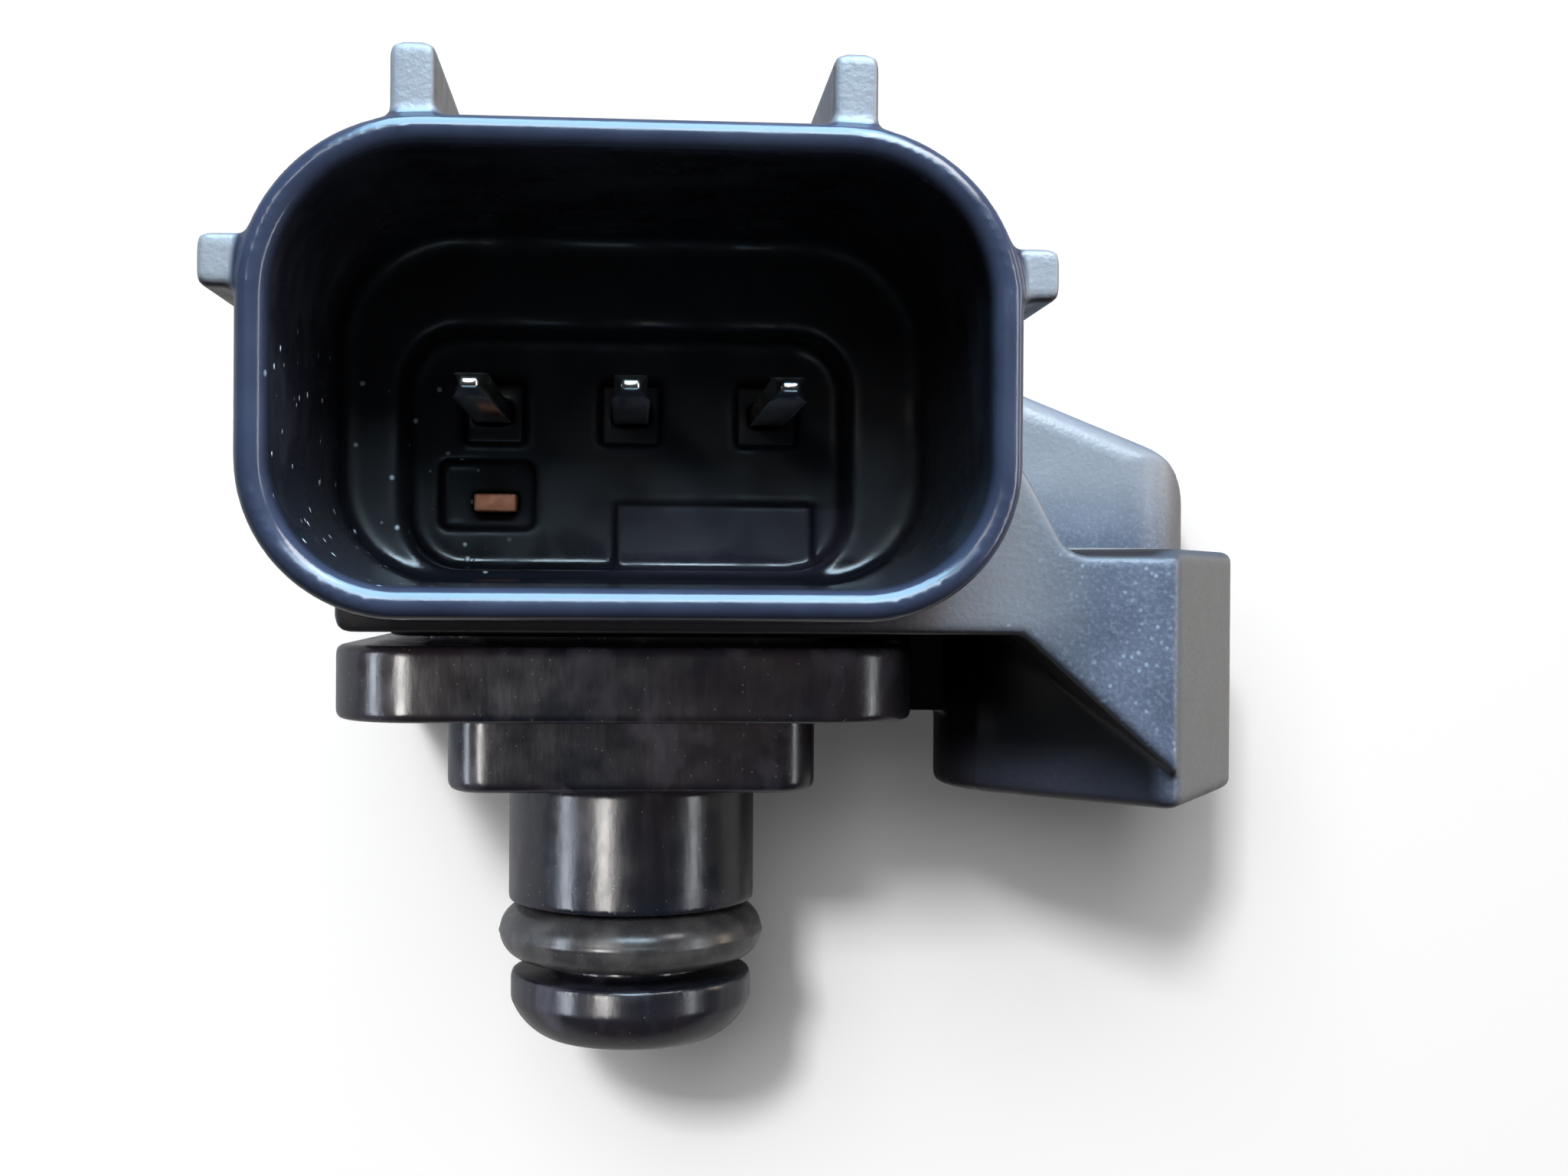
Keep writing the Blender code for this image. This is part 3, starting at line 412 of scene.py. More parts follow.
def bevel_marked(obj, width, test):
    """Bevel only the edges whose two ends pass the test."""
    weights = obj.data.attributes.new("bevel_weight_edge", "FLOAT", "EDGE")
    vertices = obj.data.vertices
    for edge in obj.data.edges:
        ends = [vertices[i].co for i in edge.vertices]
        weights.data[edge.index].value = 1.0 if test(*ends) else 0.0
    bevel(obj, width).limit_method = "WEIGHT"


def combine(obj, other, operation):
    modifier = obj.modifiers.new(operation.title() + " " + other.name, "BOOLEAN")
    modifier.operation = operation
    modifier.solver = "EXACT"
    modifier.object = other


def join(obj, *others):
    for other in others:
        combine(obj, other, "UNION")


def cut(obj, *others):
    for other in others:
        combine(obj, other, "DIFFERENCE")


def dress(obj, made):
    obj.data.materials.clear()
    obj.data.materials.append(made)


def xz_ring(outline, y):
    return [(u, y, v) for u, v in outline]


def quarter_round(radius, step):
    """How far a round edge has still to come out, and how deep it lies, every few degrees along it."""
    turns = [radians(angle) for angle in range(0, 91, step)]
    return [(radius * (1 - sin(turn)), radius * (1 - cos(turn))) for turn in turns]


def shroud_outline(offset):
    """The shroud's outer outline moved outward by offset; a negative one moves it in."""
    half = SHROUD_WIDTH / 2 + offset
    return rounded_rectangle(-half, half, SHROUD_LOW - offset, SHROUD_HIGH + offset,
                             SHROUD_BOTTOM_RADIUS + offset, SHROUD_TOP_RADIUS + offset)


# Places that follow from the sizes above
EAR_POINT_Y = BLOCK_FRONT
FLANGE_TOP = FLANGE_LOW + FLANGE_THICKNESS
CAVITY_FLOOR = MOUTH_Y + CAVITY_DEPTH
POCKET_FLOOR = CAVITY_FLOOR + POCKET_DEPTH
SHROUD_END = CAVITY_FLOOR + BACK_WALL
GROOVE_TOP = -SHANK_LENGTH
GROOVE_LOW = GROOVE_TOP - GROOVE_HEIGHT
TIP_LOW = GROOVE_LOW - TIP_BAND - TIP_ROUND
LIP_LOW = FLANGE_TOP + SEAT_GAP
TONGUE_TOP = FLANGE_TOP + TONGUE_HEIGHT
RECESS_WIDTH = LIP_WIDTH - 2 * LIP_WALL
TONGUE_WIDTH = RECESS_WIDTH - 2 * SEAT_GAP
RECESS_TOP = TONGUE_TOP + BEAD_ROOM
CHAMBER_WIDTH = 2 * (PIN_PITCH + CHAMBER_MARGIN)
LEDGE_Z = BOARD_TOP + SEAT_GAP
CHAMBER_TOP = LEDGE_Z + HEADROOM
BOARD_LOW = BOARD_TOP - BOARD_THICKNESS
LEG_BACK = CHAMBER_FRONT + LEG_REACH
TRIM_Z = BOARD_LOW - SEAT_GAP - TRIM_THICKNESS / 2
PIN_ROWS = {"left": PIN_MIDDLE_X - PIN_PITCH, "middle": PIN_MIDDLE_X, "right": PIN_MIDDLE_X + PIN_PITCH}
TRIM_X = PIN_ROWS["left"]
WINDOW_X = TRIM_X + WINDOW_SHIFT


def ear_outline():
    """Round boss about the hole, drawn out to a point that faces the connector's side."""
    centre = Vector((HOLE_X, HOLE_Y))
    point = Vector((EAR_POINT_X, EAR_POINT_Y))
    reach = (point - centre).length
    heading = degrees(atan2(point.y - centre.y, point.x - centre.x))
    half = degrees(acos(EAR_RADIUS / reach))
    lean = degrees(asin(EAR_RADIUS / reach))
    tip_back = EAR_POINT_RADIUS / sin(radians(lean))
    tip = point + (centre - point).normalized() * tip_back
    outline = arc(tip, EAR_POINT_RADIUS, heading - half, heading + half, 4)
    outline += arc(centre, EAR_RADIUS, heading + half, heading + 360 - half, 28)
    return outline


def make_housing():
    """One moulding: shroud, block, shoulder, ear, gusset and ribs, less its hollows."""
    length = SHROUD_END - MOUTH_Y
    grow = length * tan(SHROUD_DRAFT)
    rings = [xz_ring(shroud_outline(-inset), MOUTH_Y + depth) for inset, depth in quarter_round(RIM_EDGE, 15)]
    rings.append(xz_ring(shroud_outline(grow), SHROUD_END))
    housing = loft("housing", rings)

    front = GUSSET_BACK - BLOCK_CORNER * 2
    outline = rounded_rectangle(BLOCK_LEFT + WALL_STEP, BLOCK_RIGHT, front, BODY_BACK, BLOCK_CORNER)
    block = extruded("housing_block", outline, UNDERSIDE + WALL_STEP, BODY_TOP)
    bevel_marked(block, BODY_EDGE, lambda a, b: min(a.z, b.z) > BODY_TOP - OVERLAP)
    outline = rounded_square(LIP_WIDTH, TONGUE_CORNER)
    lip = extruded("housing_lip", outline, LIP_LOW, UNDERSIDE + OVERLAP)

    shoulder = make_shoulder()
    ear = extruded("ear_boss", ear_outline(), 0.0, EAR_HEIGHT)
    bevel(ear, EAR_EDGE, 2, 50)
    low = (BLOCK_RIGHT - OVERLAP, GUSSET_BACK - OVERLAP, UNDERSIDE + 2 * WALL_STEP)
    high = (HOLE_X - BUSH_OUTER_RADIUS, SHOULDER_FRONT + OVERLAP, GUSSET_TOP - 2 * WALL_STEP)
    plate = box("ear_plate", low, high)
    low = (FLANGE_SHIFT + FLANGE_WIDTH / 2 + SEAT_GAP, GUSSET_BACK - OVERLAP, FLANGE_LOW + WALL_STEP)
    stiffener = box("plate_stiffener", low, (high[0], high[1], UNDERSIDE + BLOCK_CORNER))
    low = (LIP_WIDTH / 2 - OVERLAP, GUSSET_BACK + OVERLAP, FLANGE_TOP + FINE_GAP / 2)
    sill = box("block_sill", low, (high[0], -low[1], UNDERSIDE + OVERLAP))
    join(housing, block, lip, shoulder, ear, plate, stiffener, sill, *make_gusset())
    join(housing, *make_ribs())

    cavity = make_cavity()
    pocket = make_pocket()
    cut(housing, cavity, pocket)
    join(housing, *make_pocket_details())
    cut(housing, *make_terminal_slots())
    cut(housing, *make_chamber())
    radius = BUSH_OUTER_RADIUS + FINE_GAP
    high = EAR_HEIGHT + OVERLAP
    bore = turned("bush_bore", [(0.0, high), (radius, high), (radius, -OVERLAP), (0.0, -OVERLAP)])
    bore.location = (HOLE_X, HOLE_Y, 0.0)
    cut(housing, bore)
    return housing


def inset_outline(outline, amount):
    """Counter-clockwise outline moved inward, each corner along its own bisector."""
    count = len(outline)
    moved = []
    for number in range(count):
        here = Vector(outline[number])
        before = (here - Vector(outline[number - 1])).normalized()
        after = (Vector(outline[(number + 1) % count]) - here).normalized()
        inward = Vector((-before.y - after.y, before.x + after.x))
        inward = inward * amount / max(inward.length_squared / 2, SHORT)
        moved.append(tuple(here + inward))
    return moved


def make_shoulder():
    """The sloping shoulder: its front profile with a round front edge, met with its plan."""
    left = 0.0
    low = UNDERSIDE + 3 * WALL_STEP
    back = BODY_BACK - BODY_EDGE
    right = SHOULDER_RIGHT
    crest = BODY_TOP - BODY_EDGE / 4
    radius = SHOULDER_TIP_RADIUS
    centre_x = right - radius
    fall = (centre_x - SHOULDER_CREST_X) * tan(SHOULDER_SLOPE)
    centre_z = crest + fall - radius / cos(SHOULDER_SLOPE)
    spare = 2 * SHOULDER_EDGE
    front = [(left - spare, low - spare), (right + WALL_STEP, low - spare), (right + WALL_STEP, centre_z)]
    front += arc((centre_x, centre_z), radius, 0, 90 + degrees(SHOULDER_SLOPE))
    front += [(SHOULDER_CREST_X, crest), (left - spare, crest)]
    rings = []
    for inset, depth in quarter_round(SHOULDER_EDGE, 10):
        rings.append(xz_ring(inset_outline(front, inset), SHOULDER_FRONT + depth))
    rings.append(xz_ring(front, back))
    shoulder = loft("shoulder", rings)
    plan = [(left, SHOULDER_FRONT - OVERLAP), (right - SHOULDER_CORNER, SHOULDER_FRONT - OVERLAP)]
    plan += arc((right - SHOULDER_CORNER, SHOULDER_FRONT + SHOULDER_CORNER), SHOULDER_CORNER, 270, 360)
    plan += arc((right - SHOULDER_BACK_CORNER, back - SHOULDER_BACK_CORNER), SHOULDER_BACK_CORNER, 0, 90)
    plan.append((left, back))
    room = extruded("shoulder_plan", plan, low, BODY_TOP + OVERLAP)
    combine(shoulder, room, "INTERSECT")
    return shoulder


def toe_fillet(foot):
    """Arc that eases the web's leaning edge into the flat top at its foot."""
    lean = degrees(atan2(WEB_TOP - foot, WEB_TOP_X - WEB_TOE_X))
    reach = WEB_TOE_RADIUS / tan(radians(lean / 2))
    return arc((WEB_TOE_X + reach, foot + WEB_TOE_RADIUS), WEB_TOE_RADIUS, 270, 90 + lean, 5)


def gusset_outline(inset, web):
    """Front profile of the slab under the shroud, with the gusset's slanted underside at the right."""
    right = EAR_POINT_X + WALL_STEP - inset
    left = BLOCK_LEFT + inset
    low = UNDERSIDE + inset
    top = GUSSET_TOP - inset
    outline = arc((left + GUSSET_CORNER, low + GUSSET_CORNER), GUSSET_CORNER, 180, 270, 3)
    outline += [(GUSSET_KNEE_X, low), (right, GUSSET_FOOT + inset), (right, top)]
    if web:
        outline += toe_fillet(top) + [(WEB_TOP_X, WEB_TOP), (left, WEB_TOP)]
    else:
        outline.append((left, top))
    return outline


def make_gusset():
    """The slab under the shroud: a front web that rises beside the shroud, and the gusset behind it."""
    web_back = BLOCK_FRONT + WEB_THICKNESS
    web = extruded("gusset_web", gusset_outline(0.0, True), BLOCK_FRONT, web_back, "Y")
    front_edge = BLOCK_FRONT + OVERLAP
    low_edge = UNDERSIDE + WALL_STEP
    bevel_marked(web, GUSSET_EDGE, lambda a, b: max(a.y, b.y) < front_edge and max(a.z, b.z) < low_edge)
    outline = gusset_outline(WALL_STEP / 2, False)
    gusset = extruded("gusset", outline, web_back - OVERLAP, GUSSET_BACK, "Y")
    return web, gusset


def corner_drop(reach):
    """How far the shroud's top corner has fallen away at that distance past its centre."""
    return SHROUD_TOP_RADIUS - sqrt(SHROUD_TOP_RADIUS ** 2 - reach ** 2)


def rib_profile(width, height, drop):
    """Upright rib on the line v = 0: flared feet, the one at +u set down by drop, and round top edges."""
    half = width / 2
    crown = arc((half - RIB_EDGE, height - RIB_EDGE), RIB_EDGE, 0, 90, 3)
    sides = []
    for fall in (drop, 0.0):
        flare = arc((half + RIB_FOOT, RIB_FOOT - fall), RIB_FOOT, 270, 180, 3)
        sides.append([(half + RIB_FOOT, -OVERLAP - fall)] + flare + crown)
    return sides[0] + [(-u, v) for u, v in reversed(sides[1])]


def make_ribs():
    """Two keying ribs on top of the shroud and one on each side."""
    front = MOUTH_Y + RIM_EDGE
    back = front + RIB_LENGTH
    straight = SHROUD_WIDTH / 2 - SHROUD_TOP_RADIUS
    top_drop = corner_drop(TOP_RIB_X + TOP_RIB_WIDTH / 2 + RIB_FOOT - straight)
    top_profile = rib_profile(TOP_RIB_WIDTH, TOP_RIB_HEIGHT, top_drop)
    corner_z = SHROUD_HIGH - SHROUD_TOP_RADIUS
    side_drop = corner_drop(SIDE_RIB_Z + SIDE_RIB_WIDTH / 2 + RIB_FOOT - corner_z)
    side_profile = rib_profile(SIDE_RIB_WIDTH, SIDE_RIB_HEIGHT, side_drop)
    ribs = []
    for side, sign in (("left", -1), ("right", 1)):
        shape = [(sign * (TOP_RIB_X + u), SHROUD_HIGH + v) for u, v in top_profile]
        ribs.append(extruded("top_rib_" + side, shape, front, back, "Y"))
        shape = [(sign * (SHROUD_WIDTH / 2 + v), SIDE_RIB_Z + u) for u, v in side_profile]
        ribs.append(extruded("side_rib_" + side, shape, front, back, "Y"))
    for rib in ribs:
        bevel_marked(rib, RIM_EDGE, lambda a, b: max(a.y, b.y) < front + OVERLAP)
    return ribs


def flared_rings(outline_at, mouth_y, floor_y, draft, mouth_fillet, floor_fillet):
    """Rings of a drafted hollow: round lip at the mouth, round edge at the floor."""
    rings = [xz_ring(outline_at(mouth_fillet), mouth_y - OVERLAP)]
    for flare, depth in quarter_round(mouth_fillet, 15):
        rings.append(xz_ring(outline_at(flare), mouth_y + depth))
    narrow = (floor_y - mouth_y - mouth_fillet) * tan(draft)
    for rise, shrink in quarter_round(floor_fillet, 45):
        rings.append(xz_ring(outline_at(-narrow - shrink), floor_y - rise))
    return rings


def make_cavity():
    def outline_at(offset):
        return shroud_outline(offset - SHROUD_WALL)
    rings = flared_rings(outline_at, MOUTH_Y, CAVITY_FLOOR, SHROUD_DRAFT, RIM_FILLET, CAVITY_FLOOR_FILLET)
    return loft("connector_cavity", rings)


def make_pocket():
    def outline_at(offset):
        half = POCKET_WIDTH / 2 + offset
        low = POCKET_LOW - offset
        high = POCKET_LOW + POCKET_HEIGHT + offset
        return rounded_rectangle(POCKET_X - half, POCKET_X + half, low, high, POCKET_CORNER + offset)
    rings = flared_rings(outline_at, CAVITY_FLOOR, POCKET_FLOOR, SHROUD_DRAFT, POCKET_FILLET, POCKET_FILLET)
    return loft("floor_pocket", rings)


def make_pocket_details():
    """The raised shelf low in the pocket and a square boss round each pin."""
    low = (SHELF_LEFT, POCKET_FLOOR - SHELF_PROUD, POCKET_LOW - OVERLAP)
    high = (SHELF_RIGHT, POCKET_FLOOR + OVERLAP, POCKET_LOW + SHELF_HEIGHT)
    details = [box("pocket_shelf", low, high)]
    for side, x in PIN_ROWS.items():
        centre = (x, POCKET_FLOOR - PIN_BOSS_LENGTH / 2 + OVERLAP / 2, PIN_Z)
        size = (PIN_BOSS_WIDTH, PIN_BOSS_LENGTH + OVERLAP, PIN_BOSS_HEIGHT)
        details.append(centred_box("pin_boss_" + side, centre, size))
    return details


def make_terminal_slots():
    """Slots for the three pins and the copper strip, and the window in front of the strip."""
    slots = []
    front = POCKET_FLOOR - PIN_BOSS_LENGTH - OVERLAP
    back = CHAMBER_FRONT + OVERLAP
    for side, x in PIN_ROWS.items():
        centre = (x, (front + back) / 2, PIN_Z)
        size = (PIN_WIDTH + 2 * FINE_GAP, back - front, PIN_THICKNESS + 2 * FINE_GAP)
        slots.append(centred_box("pin_slot_" + side, centre, size))
    low = (WINDOW_X - WINDOW_WIDTH / 2, POCKET_FLOOR - OVERLAP, WINDOW_Z - WINDOW_HEIGHT / 2)
    high = (WINDOW_X + WINDOW_WIDTH / 2, POCKET_FLOOR + WINDOW_DEPTH, WINDOW_Z + WINDOW_HEIGHT / 2)
    window = box("terminal_window", low, high)
    bevel(window, RIB_EDGE, 2)
    slots.append(window)
    centre = (TRIM_X, (POCKET_FLOOR + back) / 2, TRIM_Z)
    size = (TRIM_WIDTH + 2 * FINE_GAP, back - POCKET_FLOOR, TRIM_THICKNESS + 2 * FINE_GAP)
    slots.append(centred_box("trim_slot", centre, size))
    return slots


def make_chamber():
    """Hollow that opens at the underside: recess for the cover's tongue, then room for the board."""
    outline = rounded_square(RECESS_WIDTH, TONGUE_CORNER)
    recess = extruded("cover_recess", outline, LIP_LOW - OVERLAP, RECESS_TOP)
    half = CHAMBER_WIDTH / 2
    outline = rounded_rectangle(-half, half, CHAMBER_FRONT, CHAMBER_BACK, CHAMBER_CORNER)
    room = extruded("chamber_room", outline, RECESS_TOP - OVERLAP, LEDGE_Z)
    half -= LEDGE_WIDTH
    outline = rounded_rectangle(-half, half, CHAMBER_FRONT, CHAMBER_BACK - LEDGE_WIDTH, CHAMBER_CORNER)
    head = extruded("chamber_head", outline, LEDGE_Z - OVERLAP, CHAMBER_TOP)
    return [recess, room, head]


def softened(obj, voxel, passes, share):
    """Remeshed at an even grain, smoothed so that every edge is round, and thinned where it is flat."""
    remesh = obj.modifiers.new("Grain", "REMESH")
    remesh.mode = "VOXEL"
    remesh.voxel_size = voxel
    remesh.use_smooth_shade = True
    relax = obj.modifiers.new("Round edges", "SMOOTH")
    relax.factor = 0.5
    relax.iterations = passes
    thin = obj.modifiers.new("Thin", "DECIMATE")
    thin.ratio = share


def place(draft, name, slot_name, finish, *nodes):
    """Make the draft a plain mesh that is shown, rides on the body and stands for the CAD nodes."""
    mesh = evaluated_mesh(draft, name)
    mesh.transform(draft.matrix_world)
    bpy.data.objects.remove(draft)
    obj = added(name, mesh, SHOWN)
    dress(obj, finish)
    obj.data.shade_smooth()
    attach(obj, "root")
    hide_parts(*nodes)


class Nodes:
    """Builds one node tree step by step: each method gives an output that the next one can take."""

    def __init__(self, tree, coordinates):
        self.tree = tree
        self.coordinates = self.node("TexCoord").outputs[coordinates]

    def node(self, kind, inputs=None, **settings):
        """New shader node. Inputs maps its sockets to a number, a colour, a stretch or an output each."""
        made = self.tree.nodes.new("ShaderNode" + kind)
        for key, value in settings.items():
            setattr(made, key, value)
        for name, value in (inputs or {}).items():
            socket = made.inputs[name]
            if isinstance(value, float):
                socket.default_value = value
            elif isinstance(value, tuple):
                socket.default_value = (*value, 1.0)[:len(socket.default_value)]
            else:
                self.link(value, socket)
        return made

    def link(self, output, target):
        self.tree.links.new(output, target)

    def ranged(self, value, low_in, high_in, low_out, high_out):
        ends = {"From Min": low_in, "From Max": high_in, "To Min": low_out, "To Max": high_out}
        return self.node("MapRange", {"Value": value, **ends}).outputs["Result"]

    def along(self, axis):
        return self.node("SeparateXYZ", {0: self.coordinates}).outputs[axis]

    def band(self, axis, start, end, low, high):
        """From low at start to high at end along an axis, and level beyond them."""
        return self.ranged(self.along(axis), start, end, low, high)

    def maths(self, operation, *values):
        """The values taken together two at a time."""
        result = values[0]
        for value in values[1:]:
            result = self.node("Math", {0: result, 1: value}, operation=operation).outputs["Value"]
        return result

    def times(self, *values):
        return self.maths("MULTIPLY", *values)

    def plus(self, *values):
        return self.maths("ADD", *values)

    def larger(self, *values):
        return self.maths("MAXIMUM", *values)

    def mixed(self, share, first, second):
        """Number mix of two outputs."""
        return self.node("Mix", {0: share, 2: first, 3: second}).outputs[0]

    def blend(self, share, first, second):
        """Colour mix; first and second are colours or outputs."""
        return self.node("Mix", {0: share, 6: first, 7: second}, data_type="RGBA").outputs[2]


class Finish(Nodes):
    """One procedural material, laid out in the object's own coordinates."""

    def __init__(self, name, metallic=0.0):
        self.material = bpy.data.materials.new(name)
        self.material.use_nodes = True
        super().__init__(self.material.node_tree, "Object")
        self.shader = self.tree.nodes["Principled BSDF"]
        self.shader.inputs["Metallic"].default_value = metallic
        self.normal = None

    def noise(self, scale, detail, stretch=(1.0, 1.0, 1.0), distortion=0.0):
        stretched = self.node("Mapping", {"Vector": self.coordinates, "Scale": stretch}).outputs[0]
        shape = {"Vector": stretched, "Scale": scale, "Detail": detail, "Distortion": distortion}
        return self.node("TexNoise", shape).outputs["Fac"]

    def patches(self, scale, detail, low, high, most=1.0, **shape):
        """Cloudy patches: 0 where the noise is under low, and most where it is over high."""
        return self.ranged(self.noise(scale, detail, **shape), low, high, 0.0, most)

    def flecks(self, scale, low, high):
        """Sparse small spots, 1 at their centres and 0 between them."""
        shape = {"Vector": self.coordinates, "Scale": scale, "Randomness": 1.0}
        return self.ranged(self.node("TexVoronoi", shape).outputs["Distance"], low, high, 1.0, 0.0)

    def facing(self, axis, start, end, low, high):
        """From low to high by how far the surface faces along an axis of the part."""
        normal = self.node("TexCoord").outputs["Normal"]
        share = self.node("SeparateXYZ", {0: normal}).outputs[axis]
        return self.ranged(share, start, end, low, high)

    def within(self, half_width, low, high, radius):
        """1 inside a rounded rectangle seen along Y, fading out just beyond it."""
        reach = 0.02
        across = self.node("Math", {0: self.along("X")}, operation="ABSOLUTE").outputs[0]
        side = half_width - radius
        aside = self.ranged(across, side, side + reach, 0.0, reach)
        above = self.band("Z", high - radius, high - radius + reach, 0.0, reach)
        below = self.band("Z", low + radius - reach, low + radius, reach, 0.0)
        upright = self.larger(above, below)
        square = self.plus(self.times(aside, aside), self.times(upright, upright))
        return self.ranged(square, radius ** 2, (radius + SKIN_FADE) ** 2, 1.0, 0.0)

    def colour(self, output):
        self.link(output, self.shader.inputs["Base Color"])

    def roughness(self, output):
        self.link(output, self.shader.inputs["Roughness"])

    def uneven(self, noise, low, high):
        """A level between low and high that follows a noise."""
        return self.ranged(noise, 0.3, 0.7, low, high)

    def relief(self, height, distance, strength):
        inputs = {"Height": height, "Distance": distance, "Strength": strength}
        if self.normal is not None:
            inputs["Normal"] = self.normal
        self.normal = self.node("Bump", inputs).outputs["Normal"]
        self.link(self.normal, self.shader.inputs["Normal"])


def polished_mask(f):
    """1 round the rim, in the cavity and in its pocket, where the mould is polished."""
    half = SHROUD_WIDTH / 2
    inset = SHROUD_WALL / 2
    rim_end = MOUTH_Y + 2 * RIM_FILLET
    rim = f.times(f.within(half, SHROUD_LOW, SHROUD_HIGH, SHROUD_BOTTOM_RADIUS),
                  f.band("Y", rim_end, rim_end + SKIN_FADE, 1.0, 0.0))
    hollow = f.within(half - inset, SHROUD_LOW + inset, SHROUD_HIGH - inset, SHROUD_BOTTOM_RADIUS - inset)
    hollow = f.times(hollow, f.band("Y", CAVITY_FLOOR + SKIN_FADE, CAVITY_FLOOR + 2 * SKIN_FADE, 1.0, 0.0))
    half = POCKET_WIDTH / 2 - POCKET_X + OVERLAP
    pocket = f.within(half, POCKET_LOW - OVERLAP, POCKET_LOW + POCKET_HEIGHT + OVERLAP, POCKET_CORNER)
    pocket = f.times(pocket, f.band("Y", CHAMBER_FRONT - SKIN_FADE, CHAMBER_FRONT, 1.0, 0.0))
    return f.larger(rim, hollow, pocket)


def under_web_masks(f):
    """The faces set back under the web, and the shade painted on them: dark under the web's slanted edge,
    lighter only towards the foot.
    """
    recessed = f.times(f.band("Y", BLOCK_FRONT + 0.0002, BLOCK_FRONT + 0.0008, 0.0, 1.0),
                       f.band("Y", HOLE_Y, HOLE_Y + 0.0020, 1.0, 0.0),
                       f.band("X", BLOCK_RIGHT - 0.0004, BLOCK_RIGHT, 0.0, 1.0),
                       f.band("Z", EAR_HEIGHT, EAR_HEIGHT + 0.0006, 1.0, 0.0),
                       f.band("X", EAR_POINT_X - 0.0002, EAR_POINT_X + 0.0004, 1.0, 0.0))
    slope = atan2(UNDERSIDE - GUSSET_FOOT, EAR_POINT_X - GUSSET_KNEE_X)
    start = GUSSET_KNEE_X * sin(slope) + UNDERSIDE * cos(slope)
    above = f.plus(f.times(f.along("X"), sin(slope)), f.times(f.along("Z"), cos(slope)))
    near_web = f.ranged(above, start - WEB_SHADE_START, start - WEB_SHADE_END, 0.0, 0.96)
    off_foot = f.band("Z", *FOOT_SHADE, 0.0, 0.94)
    return recessed, f.times(recessed, f.larger(near_web, off_foot))


def satin_colour(f, cloud, shaded_ledge, recessed, shaded):
    """The outside: glass fibres, painted light on the front faces, a painted warm reflection on the right
    side, and painted shade on ledges, recesses and undersides.
    """
    frontal = f.facing("Y", -0.75, -0.2, 1.0, 0.0)
    # Painted light: front faces are painted paler from the shoulder's foot upward, where the lamps above
    # would light them.
    upper_front_light = f.times(frontal, f.band("Z", *UPPER_FRONT_LIGHT_RISE, 0.0, 0.58),
                          f.band("Z", *UPPER_FRONT_LIGHT_EASE, 1.0, 0.46))
    # Painted light: the web's front beside the shroud is painted paler, where light from the right falls on
    # it.
    web_front_light = f.times(frontal, f.band("X", *WEB_LIGHT_SIDE, 0.62, 0.0),
                        f.band("Y", BLOCK_FRONT, BLOCK_FRONT + WEB_LIGHT_DEPTH, 1.0, 0.0),
                        f.band("Z", *WEB_LIGHT_RISE, 0.0, 1.0))
    fibres = f.patches(6400.0, 3.0, 0.48, 0.78, 0.45)
    glass = f.times(f.flecks(2600.0, 0.04, 0.26), f.patches(420.0, 4.0, 0.42, 0.60, 0.5),
                    f.band("Z", *GLASS_FALL, 0.0, 1.0))
    satin = f.blend(cloud, (0.046, 0.048, 0.062), (0.064, 0.065, 0.084))
    satin = f.blend(upper_front_light, satin, (0.205, 0.180, 0.170))
    satin = f.blend(web_front_light, satin, (0.205, 0.182, 0.178))
    satin = f.blend(fibres, satin, (0.160, 0.160, 0.180))
    satin = f.blend(glass, satin, (0.30, 0.32, 0.36))
    # Painted reflection: faces that turn to the ear's side are painted warm, as the warm lamp at that side
    # would tint them.
    satin = f.blend(f.facing("X", 0.5, 0.85, 0.0, 0.85), satin, (0.080, 0.068, 0.058))
    # Painted shade: up-facing ledges below the shoulder are painted nearly black, damping the light they
    # catch.
    satin = f.blend(shaded_ledge, satin, (0.016, 0.016, 0.021))
    # Painted shade: the faces set back under the web are painted darker, and nearly black where the web
    # overhangs them.
    satin = f.blend(f.times(recessed, 0.8), satin, (0.042, 0.035, 0.050))
    satin = f.blend(shaded, satin, (0.003, 0.003, 0.005))
    # Painted shade: faces that look down are painted dark.
    return f.blend(f.facing("Z", -0.75, 0.0, 0.0, 1.0), (0.022, 0.019, 0.024), satin)


def gloss_colour(f, cloud, deep, specks_and_glints):
    """The polished skin: bluish at the rim, painted shade nearly black inside, painted light on the shelf,
    and dust specks painted near-white as glints.
    """
    shelf_top = POCKET_LOW + SHELF_HEIGHT
    # Painted light: the shelf low in the pocket is painted paler from its left end rightward, where light
    # would reach it.
    shelf_light = f.times(f.band("Y", CAVITY_FLOOR, CAVITY_FLOOR + SKIN_FADE, 0.0, 1.0),
                    f.band("Z", shelf_top - SKIN_FADE, shelf_top, 1.0, 0.0),
                    f.band("X", SHELF_LEFT - 0.0020, SHELF_LEFT + 0.0020, 0.0, 1.0))
    gloss = f.blend(cloud, (0.020, 0.022, 0.036), (0.028, 0.030, 0.048))
    # Painted shade: past the mouth's round lip the polished skin is painted nearly black, as the cavity lies
    # in shade.
    gloss = f.blend(deep, gloss, (0.009, 0.009, 0.013))
    gloss = f.blend(shelf_light, gloss, (0.028, 0.025, 0.038))
    # Dust specks, painted near-white so that they show as glints.
    return f.blend(specks_and_glints, gloss, (0.80, 0.84, 0.90))


def gloss_roughness(f, noise, deep):
    """The polished skin is worn in patches and dull round the pocket, but not at the pocket's lower edge."""
    edge = POCKET_LOW + 0.0004
    worn = f.times(f.patches(330.0, 3.0, 0.40, 0.62, 0.30), deep, f.band("Z", edge, edge + 0.0005, 0.0, 1.0))
    far = f.times(f.band("Y", CAVITY_FLOOR - DULL_DEPTH, CAVITY_FLOOR, 0.0, 0.22),
                  f.band("Z", edge, edge + 0.0016, 0.0, 1.0))
    return f.plus(f.uneven(noise, 0.17, 0.26), worn, far)


